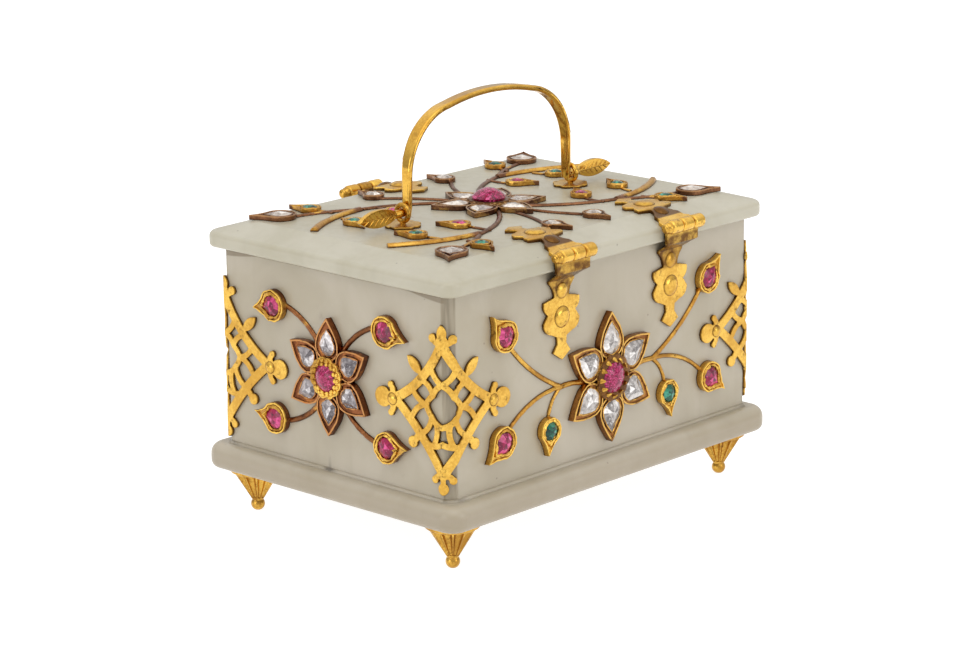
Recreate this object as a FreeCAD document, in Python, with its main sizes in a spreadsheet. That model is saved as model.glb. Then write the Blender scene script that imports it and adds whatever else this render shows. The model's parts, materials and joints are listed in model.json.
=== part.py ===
import FreeCAD, Part
import math
import os
import Sketcher
from FreeCAD import Placement, Rotation, Vector

# Jeweled casket. All lengths are millimetres. X runs along the casket, the hasp
# faces -Y, the hinges face +Y, Z points up and the ground is at zero.
SIZES = {
    # stone plinth, walls and lid
    "wall_length": 120.0,
    "wall_depth": 84.0,
    "wall_height": 54.1,
    "wall_thick": 5.5,
    "corner_flat": 2.4,
    "wall_edge": 0.6,
    "plinth_end_step": 4.1,
    "plinth_side_step": 4.7,
    "plinth_thick": 7.1,
    "plinth_corner": 5.0,
    "plinth_top_round": 3.2,
    "plinth_foot_round": 2.2,
    "lid_end_overhang": 2.8,
    "lid_side_overhang": 3.4,
    "lid_rim": 4.0,
    "lid_rise": 2.8,
    "lid_bevel": 8.7,
    "lid_corner": 4.0,
    "lid_edge": 1.0,
    "lid_soft": 1.5,
    "lid_gap": 0.2,
    # feet
    "foot_height": 12.4,
    "foot_setback": 10.1,
    "foot_top_radius": 7.2,
    "foot_lip": 1.2,
    "foot_waist_radius": 1.5,
    "foot_ball_radius": 1.9,
    "foot_wear": 0.25,
    "foot_stud_radius": 1.6,
    "foot_stud_length": 3.5,
    "fit_gap": 0.04,
    # hinges
    "axis_out": 2.6,
    "axis_rise": 4.5,
    "barrel_radius": 1.9,
    "barrel_length": 13.2,
    "pin_radius": 0.8,
    "pin_head_radius": 1.6,
    "pin_play": 0.08,
    "knuckle_gap": 0.25,
    "leaf_thick": 1.0,
    "leaf_width": 13.8,
    "rim_gap": 0.8,
    "flange_drop": 5.0,
    "wall_leaf_top": 3.0,
    "wall_leaf_drop": 29.3,
    "lid_leaf_run": 23.8,
    "boss_radius": 3.0,
    "boss_height": 1.1,
    "rivet_radius": 0.7,
    "rivet_depth": 2.6,
    # hasp
    "tongue_length": 18.2,
    "tongue_width": 10.0,
    "tongue_thick": 1.2,
    "slot_width": 2.4,
    "slot_length": 6.0,
    "slot_top": 10.5,
    "staple_wire": 0.55,
    "staple_reach": 5.0,
    "staple_half": 1.4,
    "staple_root": 3.5,
    "staple_drop": 13.8,
    # handle
    "handle_span": 62.4,
    "handle_top": 29.0,
    "handle_axis_rise": 3.7,
    "handle_thick": 1.6,
    "handle_corner": 18.0,
    "handle_crown": 1.8,
    "handle_width": 4.0,
    "handle_foot_width": 2.6,
    "handle_taper": 20.0,
    "journal_radius": 1.1,
    "journal_length": 3.4,
    "finial_length": 15.0,
    "finial_width": 4.6,
    "eye_radius": 2.15,
    "eye_wire": 0.7,
    "eye_out": 1.9,
    "eye_shank": 0.8,
    "eye_depth": 3.0,
    "rosette_radius": 5.0,
    "rosette_thick": 0.75,
    # corner mounts
    "mount_height": 44.6,
    "mount_rise": 24.4,
    "mount_reach": 23.7,
    "mount_shift": 2.0,
    "mount_thick": 1.0,
    "mount_band": 2.6,
    "mount_bar": 1.6,
    "mount_rivet": 1.75,
    "mount_dome": 0.8,
    # flowers, stems and stones
    "end_flower": 15.9,
    "side_flower": 17.9,
    "lid_flower": 16.3,
    "petal_height": 2.1,
    "collar_height": 2.8,
    "ruby_dome": 1.4,
    "setting_lip": 0.45,
    "tray_depth": 0.5,
    "seat_floor": 0.8,
    "crown_height": 0.7,
    "stem_width": 1.5,
    "twig_width": 2.2,
    "bud_radius": 4.3,
    "bud_reach": 7.6,
    "leaf_radius": 3.7,
    "leaf_reach": 6.9,
    "lid_big_radius": 4.3,
    "lid_big_reach": 8.4,
    "lid_leaf_radius": 3.0,
    "lid_leaf_reach": 6.6,
    "spray_gap": 1.45,
    "white_gap": 0.5,
    "white_hasp_gap": 4.2,
    "setting_height": 2.0,
}

# Sums of the sizes above that several pieces share.
SUMS = {
    "plinth_length": "wall_length + 2 * plinth_end_step",
    "plinth_depth": "wall_depth + 2 * plinth_side_step",
    "lid_length": "wall_length + 2 * lid_end_overhang",
    "lid_depth": "wall_depth + 2 * lid_side_overhang",
    "wall_foot": "foot_height + plinth_thick",
    "wall_top": "wall_foot + wall_height",
    "lid_foot": "wall_top + lid_gap",
    "lid_crease": "lid_foot + lid_rim",
    "lid_top": "lid_crease + lid_rise",
    "lid_thick": "lid_rim + lid_rise",
    "end_face": "wall_length / 2",
    "side_face": "wall_depth / 2",
    "long_flat": "end_face - corner_flat",
    "long_mitre": "end_face - corner_flat / 2",
    "long_inner": "end_face - wall_thick",
    "deep_flat": "side_face - corner_flat",
    "deep_mitre": "side_face - corner_flat / 2",
    "deep_inner": "side_face - wall_thick",
    "axis_depth": "lid_depth / 2 + axis_out",
    "axis_level": "lid_foot + axis_rise",
    "flange_in": "lid_depth / 2 + rim_gap",
    "flange_out": "flange_in + leaf_thick",
    "flange_foot": "axis_level - flange_drop",
    "wall_leaf_level": "wall_top - wall_leaf_top",
    "wall_leaf_tip": "axis_level - wall_leaf_drop",
    "leaf_face": "side_face + leaf_thick",
    "knuckle": "(barrel_length - 2 * knuckle_gap) / 3",
    "knuckle_step": "knuckle + knuckle_gap",
    "bevel_foot": "lid_depth / 2 - lid_edge",
    "bevel_head": "lid_depth / 2 - lid_bevel",
    "lid_leaf_tip": "axis_depth - lid_leaf_run",
    "handle_axis": "lid_top + handle_axis_rise",
    "leg_out": "handle_span / 2 + handle_thick / 2",
    "leg_in": "handle_span / 2 - handle_thick / 2",
    "eye_place": "handle_span / 2 + eye_out",
    "mount_level": "wall_foot + mount_rise",
    "leg_foot": "handle_axis - journal_radius",
    "taper_level": "handle_axis + handle_taper",
    "arch_top": "handle_axis + handle_top",
    "arch_under": "arch_top - handle_thick",
    "shoulder": "arch_top - handle_crown - handle_corner",
    "bend_in": "handle_corner - handle_thick",
    "bend_middle": "leg_out - handle_corner",
    "arch_via_x": "bend_middle + handle_corner * 0.755",
    "arch_via_z": "shoulder + handle_corner * 0.656",
    "arch_end_x": "bend_middle + handle_corner * 0.139",
    "arch_end_z": "shoulder + handle_corner * 0.99",
    "inner_via_x": "bend_middle + bend_in * 0.755",
    "inner_via_z": "shoulder + bend_in * 0.656",
    "inner_end_x": "bend_middle + bend_in * 0.139",
    "inner_end_z": "shoulder + bend_in * 0.99",
    "lid_flat_x": "lid_length / 2 - lid_corner",
    "lid_flat_y": "lid_depth / 2 - lid_corner",
    "lid_via_x": "lid_length / 2 - lid_corner * 0.29289",
    "lid_via_y": "lid_depth / 2 - lid_corner * 0.29289",
    "top_half_x": "lid_length / 2 - lid_bevel",
    "top_half_y": "lid_depth / 2 - lid_bevel",
    "top_flat_x": "top_half_x - lid_corner",
    "top_flat_y": "top_half_y - lid_corner",
    "top_via_x": "top_half_x - lid_corner * 0.29289",
    "top_via_y": "top_half_y - lid_corner * 0.29289",
}

doc = FreeCAD.newDocument("JeweledCasket")
sheet = doc.addObject("Spreadsheet::Sheet", "Sizes")
row = 0
for alias, number in SIZES.items():
    row += 1
    sheet.set("A%d" % row, alias)
    sheet.set("B%d" % row, str(number))
    sheet.setAlias("B%d" % row, alias)
for alias, formula in SUMS.items():
    row += 1
    sheet.set("A%d" % row, alias)
    sheet.set("B%d" % row, "=" + formula)
    sheet.setAlias("B%d" % row, alias)
doc.recompute()

ALONG_X = Rotation(Vector(0, 1, 0), Vector(0, 0, 1), Vector(1, 0, 0))
ALONG_Y = Rotation(Vector(-1, 0, 0), Vector(0, 0, 1), Vector(0, 1, 0))
UPRIGHT = Rotation()
ORIGIN = Vector(0, 0, 0)
NODES = []


def size(alias):
    """The present value of a cell of the sheet."""
    return float(sheet.get(alias))


def bind(thing, prop, alias, share=1):
    """Binds a property to a cell, or to a share of it."""
    thing.setExpression(prop, "Sizes.%s * %s" % (alias, share))


def node(thing, label):
    """Takes a finished object in as a piece of the casket."""
    thing.Label = label
    NODES.append(thing)
    return thing


def amount(coordinate):
    """A coordinate is zero, a cell's name, or a name and a share."""
    if coordinate == 0:
        return 0.0
    if isinstance(coordinate, str):
        return size(coordinate)
    return size(coordinate[0]) * coordinate[1]


def hold(sketch, geometry, end, axis, coordinate):
    """Holds one coordinate of a sketch point to its cell."""
    if coordinate == 0:
        line = -2 if axis == "X" else -1
        sketch.addConstraint(Sketcher.Constraint("PointOnObject", geometry, end, line))
        return
    rule = Sketcher.Constraint("Distance" + axis, -1, 1, geometry, end, amount(coordinate))
    index = sketch.addConstraint(rule)
    if isinstance(coordinate, str):
        bind(sketch, "Constraints[%d]" % index, coordinate)
    else:
        bind(sketch, "Constraints[%d]" % index, coordinate[0], coordinate[1])


def outline(sketch, corners):
    """Closed outline. A corner is (x, y), or (x, y, via_x, via_y) where an arc arrives."""
    count = len(corners)
    points = [Vector(amount(c[0]), amount(c[1]), 0) for c in corners]
    edges = []
    starts = []
    for index in range(count):
        target = corners[(index + 1) % count]
        here = points[index]
        there = points[(index + 1) % count]
        if len(target) == 2:
            edges.append(sketch.addGeometry(Part.LineSegment(here, there), False))
            starts.append(1)
            continue
        via = Vector(amount(target[2]), amount(target[3]), 0)
        edges.append(sketch.addGeometry(Part.Arc(here, via, there), False))
        near = sketch.getPoint(edges[-1], 1).distanceToPoint(here)
        far = sketch.getPoint(edges[-1], 2).distanceToPoint(here)
        starts.append(1 if near < far else 2)
    for index in range(count):
        after = (index + 1) % count
        joint = (edges[index], 3 - starts[index], edges[after], starts[after])
        sketch.addConstraint(Sketcher.Constraint("Coincident", *joint))
    for index in range(count):
        hold(sketch, edges[index], starts[index], "X", corners[index][0])
        hold(sketch, edges[index], starts[index], "Y", corners[index][1])
    for index in range(count):
        target = corners[(index + 1) % count]
        if len(target) == 4:
            via = Vector(amount(target[2]), amount(target[3]), 0)
            mark = sketch.addGeometry(Part.Point(via), True)
            hold(sketch, mark, 1, "X", target[2])
            hold(sketch, mark, 1, "Y", target[3])
            sketch.addConstraint(Sketcher.Constraint("PointOnObject", mark, 1, edges[index]))


def body_sketch(body, name, role):
    """A sketch on one of a body's own origin planes."""
    sketch = body.newObject("Sketcher::SketchObject", name)
    planes = [f for f in body.Origin.OriginFeatures if f.Role == role]
    sketch.AttachmentSupport = [(planes[0], "")]
    sketch.MapMode = "FlatFace"
    return sketch


def extrusion(name, corners, turn, direction, forward, backward=None):
    """A free sketch drawn out along a direction, both lengths held to the sheet."""
    sketch = doc.addObject("Sketcher::SketchObject", name + "_sketch")
    sketch.Placement = Placement(ORIGIN, turn)
    outline(sketch, corners)
    solid = doc.addObject("Part::Extrusion", name)
    solid.Base = sketch
    solid.DirMode = "Custom"
    solid.Dir = direction
    solid.Solid = True
    bind(solid, "LengthFwd", forward[0], forward[1])
    if backward:
        bind(solid, "LengthRev", backward[0], backward[1])
    doc.recompute()
    return solid


def joined(name, pieces):
    """Several solids fused to one."""
    fused = doc.addObject("Part::MultiFuse", name)
    fused.Shapes = pieces
    fused.Refine = True
    doc.recompute()
    return fused


def common(name, base, tool):
    """What two solids share."""
    shared = doc.addObject("Part::Common", name)
    shared.Base = base
    shared.Tool = tool
    doc.recompute()
    return shared


def cut(name, base, tool):
    """One solid less another."""
    less = doc.addObject("Part::Cut", name)
    less.Base = base
    less.Tool = tool
    less.Refine = True
    doc.recompute()
    return less


def cylinder(name, radius, height, place):
    """A round bar held to the sheet."""
    bar = doc.addObject("Part::Cylinder", name)
    bind(bar, "Radius", radius)
    bind(bar, "Height", height)
    bar.Placement = place
    doc.recompute()
    return bar


def free(name, shape, place=None):
    """A piece whose shape is built from the sheet's values below."""
    thing = doc.addObject("Part::Feature", name)
    thing.Shape = shape
    if place:
        thing.Placement = place
    return thing


def holes(name, places, radius, depth):
    """Round drillings, each from a point along a direction, as one tool."""
    bars = [Part.makeCylinder(radius, depth, p, d) for p, d in places]
    return free(name, Part.Compound(bars))


def edges_at(shape, low, high, axis):
    """Names of the edges lying between two heights along an axis."""
    found = []
    for index, edge in enumerate(shape.Edges):
        box = edge.BoundBox
        ends = (getattr(box, axis + "Min"), getattr(box, axis + "Max"))
        if ends[0] > low and ends[1] < high:
            found.append("Edge%d" % (index + 1))
    return found


def dress(body, kind, name, base, edges, prop, alias):
    """A fillet or chamfer on named edges of a body."""
    feature = body.newObject("PartDesign::" + kind, name)
    feature.Base = (base, edges)
    bind(feature, prop, alias)
    doc.recompute()
    return feature


def block(name, half_x, half_y, foot, height):
    """A rectangular stone block as a body: sketch and pad."""
    body = doc.addObject("PartDesign::Body", name)
    sketch = body_sketch(body, name + "_plan", "XY_Plane")
    bind(sketch, "AttachmentOffset.Base.z", foot)
    corners = [(half_x, half_y)]
    corners.append(((half_x[0], -half_x[1]), half_y))
    corners.append(((half_x[0], -half_x[1]), (half_y[0], -half_y[1])))
    corners.append((half_x, (half_y[0], -half_y[1])))
    outline(sketch, corners)
    pad = body.newObject("PartDesign::Pad", name + "_pad")
    pad.Profile = sketch
    bind(pad, "Length", height)
    doc.recompute()
    return body, pad


TINY = 1e-4

# Stone plinth: a slab with rounded corners and a bullnose edge.
half = ("plinth_length", 0.5), ("plinth_depth", 0.5)
plinth, pad = block("plinth", half[0], half[1], "foot_height", "plinth_thick")
upright = [
    "Edge%d" % (i + 1)
    for i, e in enumerate(pad.Shape.Edges)
    if e.BoundBox.ZLength > size("plinth_thick") / 2
]
rounded = dress(plinth, "Fillet", "plinth_corners", pad, upright, "Radius", "plinth_corner")
level = size("wall_foot")
found = edges_at(rounded.Shape, level - TINY, level + TINY, "Z")
rounded = dress(plinth, "Fillet", "plinth_upper", rounded, found, "Radius", "plinth_top_round")
level = size("foot_height")
found = edges_at(rounded.Shape, level - TINY, level + TINY, "Z")
dress(plinth, "Fillet", "plinth_lower", rounded, found, "Radius", "plinth_foot_round")
FOOT_PLACES = {}
for side, sign_x in (("left", -1), ("right", 1)):
    for end, sign_y in (("front", -1), ("back", 1)):
        x = sign_x * (size("plinth_length") / 2 - size("foot_setback"))
        y = sign_y * (size("plinth_depth") / 2 - size("foot_setback"))
        FOOT_PLACES[end + "_" + side] = Vector(x, y, 0)
sockets = [
    (p + Vector(0, 0, size("foot_height")), Vector(0, 0, 1)) for p in FOOT_PLACES.values()
]
stud_hole = size("foot_stud_radius") + size("fit_gap")
tool = holes("stud_holes", sockets, stud_hole, size("foot_stud_length") + size("fit_gap"))
node(cut("plinth_drilled", plinth, tool), "base_plinth")


# Stone walls: four mitred slabs; each mitre meets its neighbour behind the corner flat.
def wall(name, flat, mitre, inner, face, face_in, face_mitre, turn):
    """A wall facing +Y before it is turned to its side."""
    body = doc.addObject("PartDesign::Body", name + "_slab")
    sketch = body_sketch(body, name + "_plan", "XY_Plane")
    bind(sketch, "AttachmentOffset.Base.z", "wall_foot")
    corners = [((flat, -1), face), (flat, face), (mitre, face_mitre), (inner, face_in)]
    corners += [((inner, -1), face_in), ((mitre, -1), face_mitre)]
    outline(sketch, corners)
    pad = body.newObject("PartDesign::Pad", name + "_pad")
    pad.Profile = sketch
    bind(pad, "Length", "wall_height")
    doc.recompute()
    found = []
    for level in (size("wall_foot"), size("wall_top")):
        found += edges_at(pad.Shape, level - TINY, level + TINY, "Z")
    outer = []
    for edge_name in found:
        box = pad.Shape.getElement(edge_name).BoundBox
        if box.YMin > size(face) - TINY:
            outer.append(edge_name)
    dress(body, "Chamfer", name + "_edges", pad, outer, "Size", "wall_edge")
    body.Placement = Placement(ORIGIN, Rotation(Vector(0, 0, 1), turn))
    doc.recompute()
    return body


LONG = ("long_flat", "long_mitre", "long_inner", "side_face", "deep_inner", "deep_mitre")
SHORT = ("deep_flat", "deep_mitre", "deep_inner", "end_face", "long_inner", "long_mitre")
walls = {
    "back": wall("wall_back", *LONG, 0),
    "front": wall("wall_front", *LONG, 180),
    "right": wall("wall_right", *SHORT, -90),
    "left": wall("wall_left", *SHORT, 90),
}

# Stone lid: a low rim with round corners, a broad bevel and a flat top.
def round_corners(half_x, half_y, flat_x, flat_y, via_x, via_y):
    """A rectangle with round corners about the origin."""
    corners = []
    for sign_x, sign_y in ((1, 1), (-1, 1), (-1, -1), (1, -1)):
        side_first = sign_x == sign_y
        on_side = ((half_x[0], half_x[1] * sign_x), (flat_y, sign_y))
        on_end = ((flat_x, sign_x), (half_y[0], half_y[1] * sign_y))
        via = ((via_x, sign_x), (via_y, sign_y))
        first = on_side if side_first else on_end
        second = on_end if side_first else on_side
        corners.append(first)
        corners.append(second + via)
    return corners


lid = doc.addObject("PartDesign::Body", "lid")
HALF = ("lid_length", 0.5), ("lid_depth", 0.5)
plan = round_corners(*HALF, "lid_flat_x", "lid_flat_y", "lid_via_x", "lid_via_y")
crest = ("top_half_x", 1), ("top_half_y", 1)
crest = round_corners(*crest, "top_flat_x", "top_flat_y", "top_via_x", "top_via_y")
stations = (("foot", plan, "lid_foot"), ("crease", plan, "lid_crease"), ("top", crest, "lid_top"))
levels = []
for name, corners, level in stations:
    sketch = body_sketch(lid, "lid_" + name, "XY_Plane")
    bind(sketch, "AttachmentOffset.Base.z", level)
    outline(sketch, corners)
    levels.append(sketch)
rim = lid.newObject("PartDesign::Pad", "lid_rim")
rim.Profile = levels[0]
bind(rim, "Length", "lid_rim")
doc.recompute()
slope = lid.newObject("PartDesign::AdditiveLoft", "lid_slope")
slope.Profile = levels[1]
slope.Sections = [levels[2]]
slope.Ruled = True
doc.recompute()
level = size("lid_foot")
found = edges_at(slope.Shape, level - TINY, level + TINY, "Z")
rounded = dress(lid, "Fillet", "lid_under", slope, found, "Radius", "lid_edge")
level = size("lid_crease")
found = edges_at(rounded.Shape, level - TINY, level + TINY, "Z")
rounded = dress(lid, "Fillet", "lid_shoulder", rounded, found, "Radius", "lid_soft")


# Feet: a lip and a fluted cone on a ball with a worn flat, and a stud into the plinth.
FLUTES = 12
FLUTE_WIDTH_SHARE = 0.78
FLUTE_NECK_SHARE = 0.3
FLUTE_START_SHARE = 0.08
FLUTE_RUN_SHARE = 0.86


def flutes(low, high):
    """Tapered hollows round a cone, along its slope between two points of its profile."""
    slope = high - low
    spacing = 2 * math.pi * high.x / FLUTES
    wide = spacing * FLUTE_WIDTH_SHARE / 2
    start = low + slope * FLUTE_START_SHARE
    one = Part.makeCone(
        wide * FLUTE_NECK_SHARE, wide, slope.Length * FLUTE_RUN_SHARE, start, slope
    )
    step = 360 / FLUTES
    return [one.rotated(ORIGIN, Vector(0, 0, 1), index * step) for index in range(FLUTES)]


def foot(name, place):
    """One turned foot standing on the ground."""
    ball = size("foot_ball_radius")
    centre = ball - size("foot_wear")
    waist = size("foot_waist_radius")
    lip = size("foot_height") - size("foot_lip")
    touch = math.sqrt(ball ** 2 - centre ** 2)
    neck = centre + math.sqrt(ball ** 2 - waist ** 2)
    stud = size("foot_stud_radius")
    head = size("foot_height") + size("foot_stud_length")
    top = size("foot_height")
    bowl = size("foot_top_radius") - size("foot_lip") / 2
    edges = [
        Part.makeLine(ORIGIN, Vector(touch, 0, 0)),
        Part.Arc(Vector(touch, 0, 0), Vector(ball, 0, centre), Vector(waist, 0, neck)).toShape(),
        Part.makeLine(Vector(waist, 0, neck), Vector(bowl, 0, lip)),
        Part.makeLine(Vector(bowl, 0, lip), Vector(size("foot_top_radius"), 0, lip)),
        Part.makeLine(
            Vector(size("foot_top_radius"), 0, lip), Vector(size("foot_top_radius"), 0, top)
        ),
        Part.makeLine(Vector(size("foot_top_radius"), 0, top), Vector(stud, 0, top)),
        Part.makeLine(Vector(stud, 0, top), Vector(stud, 0, head)),
        Part.makeLine(Vector(stud, 0, head), Vector(0, 0, head)),
        Part.makeLine(Vector(0, 0, head), ORIGIN),
    ]
    turned = Part.Face(Part.Wire(edges)).revolve(ORIGIN, Vector(0, 0, 1), 360)
    fluted = turned.cut(flutes(Vector(waist, 0, neck), Vector(bowl, 0, lip)))
    return free(name, fluted, Placement(place, UPRIGHT))


for key, place in FOOT_PLACES.items():
    node(foot("foot_turned_" + key, place), "foot_" + key)

# Lobed outline shared by the hinge and hasp leaves: half-width and length shares, and for
# a stretch that arrives as an arc the shares of a point on the arc.
LEAF_SHARES = (
    (0.92, 0.0),
    (0.92, 0.165),
    (0.72, 0.20),
    (0.70, 0.285),
    (0.40, 0.415, 0.46, 0.36),
    (0.98, 0.445),
    (0.76, 0.565, 0.95, 0.52),
    (1.0, 0.64),
    (0.60, 0.75, 0.86, 0.72),
    (0.26, 0.785),
    (0.24, 0.85),
    (0.48, 0.925),
)


# Boss places along a leaf, as shares of its length, and boss sizes as shares of the largest.
BOSS_SHARES = ((0.365, 0.74), (0.605, 1.0))


def knuckles(name, offsets, place):
    """Knuckle cylinders of one leaf, by their steps from the middle."""
    made = []
    for index, step in enumerate(offsets):
        start = place + Vector(step * size("knuckle_step") - size("knuckle") / 2, 0, 0)
        turn = Rotation(Vector(0, 0, 1), Vector(1, 0, 0))
        made.append(
            cylinder("%s_knuckle%d" % (name, index), "barrel_radius", "knuckle", Placement(start, turn))
        )
    return made


def dome(radius, height, shank, depth):
    """A low round head on a shank, the head's flat side on zero."""
    top = Vector(0, 0, height)
    rim = Vector(radius, 0, 0)
    ball = (radius ** 2 + height ** 2) / (2 * height)
    lean = math.asin(radius / ball) / 2
    via = Vector(ball * math.sin(lean), 0, ball * math.cos(lean) - ball + height)
    edges = [
        Part.Arc(rim, via, top).toShape(),
        Part.makeLine(top, Vector(0, 0, -depth)),
        Part.makeLine(Vector(0, 0, -depth), Vector(shank, 0, -depth)),
        Part.makeLine(Vector(shank, 0, -depth), Vector(shank, 0, 0)),
        Part.makeLine(Vector(shank, 0, 0), rim),
    ]
    return Part.Face(Part.Wire(edges)).revolve(ORIGIN, Vector(0, 0, 1), 360)


def moved(shape, place):
    """A copy of a shape carried by a placement on top of its own."""
    copy = shape.copy()
    copy.Placement = place.multiply(shape.Placement)
    return copy


def plate_prism(shares, width, length, thick):
    """A flat lobed plate: half-widths and lengths as shares, mirrored about the middle."""
    edges = []
    heads = []
    for sense in (1, -1):
        last = None
        for row in shares + ((0, 1),):
            point = Vector(sense * row[0] * width / 2, -row[1] * length, 0)
            if last is None:
                heads.append(point)
            elif len(row) == 4:
                via = Vector(sense * row[2] * width / 2, -row[3] * length, 0)
                edges.append(Part.Arc(last, via, point).toShape())
            else:
                edges.append(Part.makeLine(last, point))
            last = point
    edges.append(Part.makeLine(*heads))
    return Part.Face(Part.Wire(Part.sortEdges(edges)[0])).extrude(Vector(0, 0, thick))


def wall_leaf(name, x):
    """Hinge leaf on the back wall, bent out round the lid's rim to its knuckles."""
    inner = [
        ("flange_in", "axis_level"),
        ("flange_in", "flange_foot"),
        ("side_face", "wall_leaf_level"),
        ("side_face", "wall_leaf_tip"),
        ("leaf_face", "wall_leaf_tip"),
        ("leaf_face", "wall_leaf_level"),
        ("flange_out", "flange_foot"),
        ("flange_out", "axis_level"),
    ]
    strip = extrusion(name + "_strip", inner, ALONG_X, Vector(1, 0, 0), ("leaf_width", 1))
    strip.Placement = Placement(Vector(x - size("leaf_width") / 2, 0, 0), UPRIGHT)
    prism = plate_prism(LEAF_SHARES, size("leaf_width"), size("wall_leaf_drop"), size("lid_depth"))
    place = Placement(Vector(x, 0, size("axis_level")), ALONG_Y)
    shaped = common(name + "_shaped", strip, free(name + "_outline", prism, place))
    axis = Vector(x, size("axis_depth"), size("axis_level"))
    barrel = joined(name + "_barrel", [shaped] + knuckles(name, (-1, 1), axis))
    radius = size("barrel_radius") + size("knuckle_gap")
    half = size("knuckle") / 2 + size("knuckle_gap")
    room = Part.makeCylinder(radius, 2 * half, axis - Vector(half, 0, 0), Vector(1, 0, 0))
    bore = size("pin_radius") + size("fit_gap")
    reach = size("barrel_length")
    through = Part.makeCylinder(bore, 2 * reach, axis - Vector(reach, 0, 0), Vector(1, 0, 0))
    drills = [room, through]
    for along, share in BOSS_SHARES:
        point = Vector(x, 0, size("axis_level") - along * size("wall_leaf_drop"))
        hole = size("rivet_radius") + size("fit_gap")
        drills.append(Part.makeCylinder(hole, size("lid_depth"), point, Vector(0, 1, 0)))
    return cut(name + "_bored", barrel, free(name + "_drills", Part.Compound(drills)))


def lid_leaf(name, x, facing):
    """Leaf on the lid over bevel and top, its middle knuckle or its two outer ones kept."""
    out = size("axis_depth")
    crease = size("lid_crease")
    top = size("lid_top")
    slope = size("lid_rise") / size("lid_bevel")
    edge = size("lid_depth") / 2
    head = size("bevel_head")
    thick = size("leaf_thick")
    tip = size("lid_leaf_tip")
    rise = thick * math.hypot(1, slope)
    bend = thick * math.tan(math.atan(slope) / 2)
    points = [
        (out, crease - (out - edge) * slope),
        (head, top),
        (tip, top),
        (tip, top + thick),
        (head + bend, top + thick),
        (out, crease - (out - edge) * slope + rise),
    ]
    wire = Part.makePolygon([Vector(0, y, z) for y, z in points + points[:1]])
    strip = Part.Face(wire).extrude(Vector(size("leaf_width"), 0, 0))
    strip.translate(Vector(-size("leaf_width") / 2, 0, 0))
    prism = plate_prism(LEAF_SHARES, size("leaf_width"), size("lid_leaf_run"), 2 * top)
    prism.translate(Vector(0, out, 0))
    shape = strip.common(prism)
    axis = Vector(0, out, size("axis_level"))
    steps = (0,) if facing > 0 else (-1, 1)
    clear = (-1, 1) if facing > 0 else (0,)
    span = size("knuckle")
    gap = size("knuckle_gap")
    wide = size("barrel_radius") + 2 * gap
    for step in clear:
        middle = step * size("knuckle_step")
        half = span / 2 + gap
        if step:
            half = span
            middle += math.copysign(span / 2 - gap, step)
        start = axis + Vector(middle - half, 0, 0)
        shape = shape.cut(Part.makeCylinder(wide, 2 * half, start, Vector(1, 0, 0)))
    solids = max(shape.Solids, key=lambda s: s.Volume)
    shape = solids
    for step in steps:
        start = axis + Vector(step * size("knuckle_step") - span / 2, 0, 0)
        shape = shape.fuse(Part.makeCylinder(size("barrel_radius"), span, start, Vector(1, 0, 0)))
    bore = size("pin_radius") + (size("pin_play") if facing > 0 else size("fit_gap"))
    reach = size("barrel_length")
    shape = shape.cut(
        Part.makeCylinder(bore, 2 * reach, axis - Vector(reach, 0, 0), Vector(1, 0, 0))
    )
    for point, direction in lid_boss_places():
        hole = size("rivet_radius") + size("fit_gap")
        drill = Part.makeCylinder(hole, size("lid_depth"), point, direction)
        back = Part.makeCylinder(hole, size("lid_depth"), point, direction * -1)
        shape = shape.cut([drill, back])
    shape = shape.removeSplitter()
    turn = Rotation(Vector(0, 0, 1), 0 if facing > 0 else 180)
    return free(name, shape, Placement(Vector(x, 0, 0), turn))


def lid_boss_places():
    """Head seats on a lid leaf: one on the bevel, one on the flat top, with their axes."""
    slope = size("lid_rise") / size("lid_bevel")
    thick = size("leaf_thick")
    lean = math.atan(slope)
    first = size("axis_depth") - BOSS_SHARES[0][0] * size("lid_leaf_run")
    second = size("axis_depth") - BOSS_SHARES[1][0] * size("lid_leaf_run")
    level = size("lid_crease") + (size("lid_depth") / 2 - first) * slope
    normal = Vector(0, math.sin(lean), math.cos(lean))
    seat = Vector(0, first, level) + normal * thick
    return [(seat, normal), (Vector(0, second, size("lid_top") + thick), Vector(0, 0, 1))]


def bosses(seats):
    """Domed heads with shanks at seats, each with its share of the full size."""
    shapes = []
    for (point, direction), (along, share) in seats:
        head = dome(
            size("boss_radius") * share,
            size("boss_height") * share,
            size("rivet_radius"),
            size("rivet_depth"),
        )
        shapes.append(moved(head, Placement(point, Rotation(Vector(0, 0, 1), direction))))
    return shapes


def pin(name, axis):
    """A hinge pin with a ball head."""
    half = size("barrel_length") / 2
    start = axis - Vector(half, 0, 0)
    bar = Part.makeCylinder(size("pin_radius"), 2 * half, start, Vector(1, 0, 0))
    ball = Part.makeSphere(size("pin_head_radius"), axis + Vector(half, 0, 0))
    inside = Part.makeCylinder(size("pin_head_radius"), 2 * half, start, Vector(1, 0, 0))
    return free(name, bar.fuse(ball.cut(inside)).removeSplitter())


# The hinges sit a little off the middle, at shares of half the wall's length.
HINGE_SHARES = {"right": 0.309, "left": -0.419}
HINGES = {side: share * size("end_face") for side, share in HINGE_SHARES.items()}
wall_heads = []
lid_heads = []
wall_drills = []
lid_drills = []
for side, x in HINGES.items():
    node(wall_leaf("hinge_wall_%s" % side, x), "hinge_wall_leaf_" + side)
    node(lid_leaf("hinge_lid_%s" % side, x, 1), "hinge_lid_leaf_" + side)
    axis = Vector(x, size("axis_depth"), size("axis_level"))
    node(pin("hinge_pin_bar_" + side, axis), "hinge_pin_" + side)
    for along, share in BOSS_SHARES:
        level = size("axis_level") - along * size("wall_leaf_drop")
        point = Vector(x, size("leaf_face"), level)
        wall_heads.append(((point, Vector(0, 1, 0)), (along, share)))
        wall_drills.append((point, Vector(0, -1, 0)))
    for (point, direction), shares in zip(lid_boss_places(), BOSS_SHARES):
        seat = point + Vector(x, 0, 0)
        lid_heads.append(((seat, direction), shares))
        lid_drills.append((seat, direction * -1))
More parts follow.
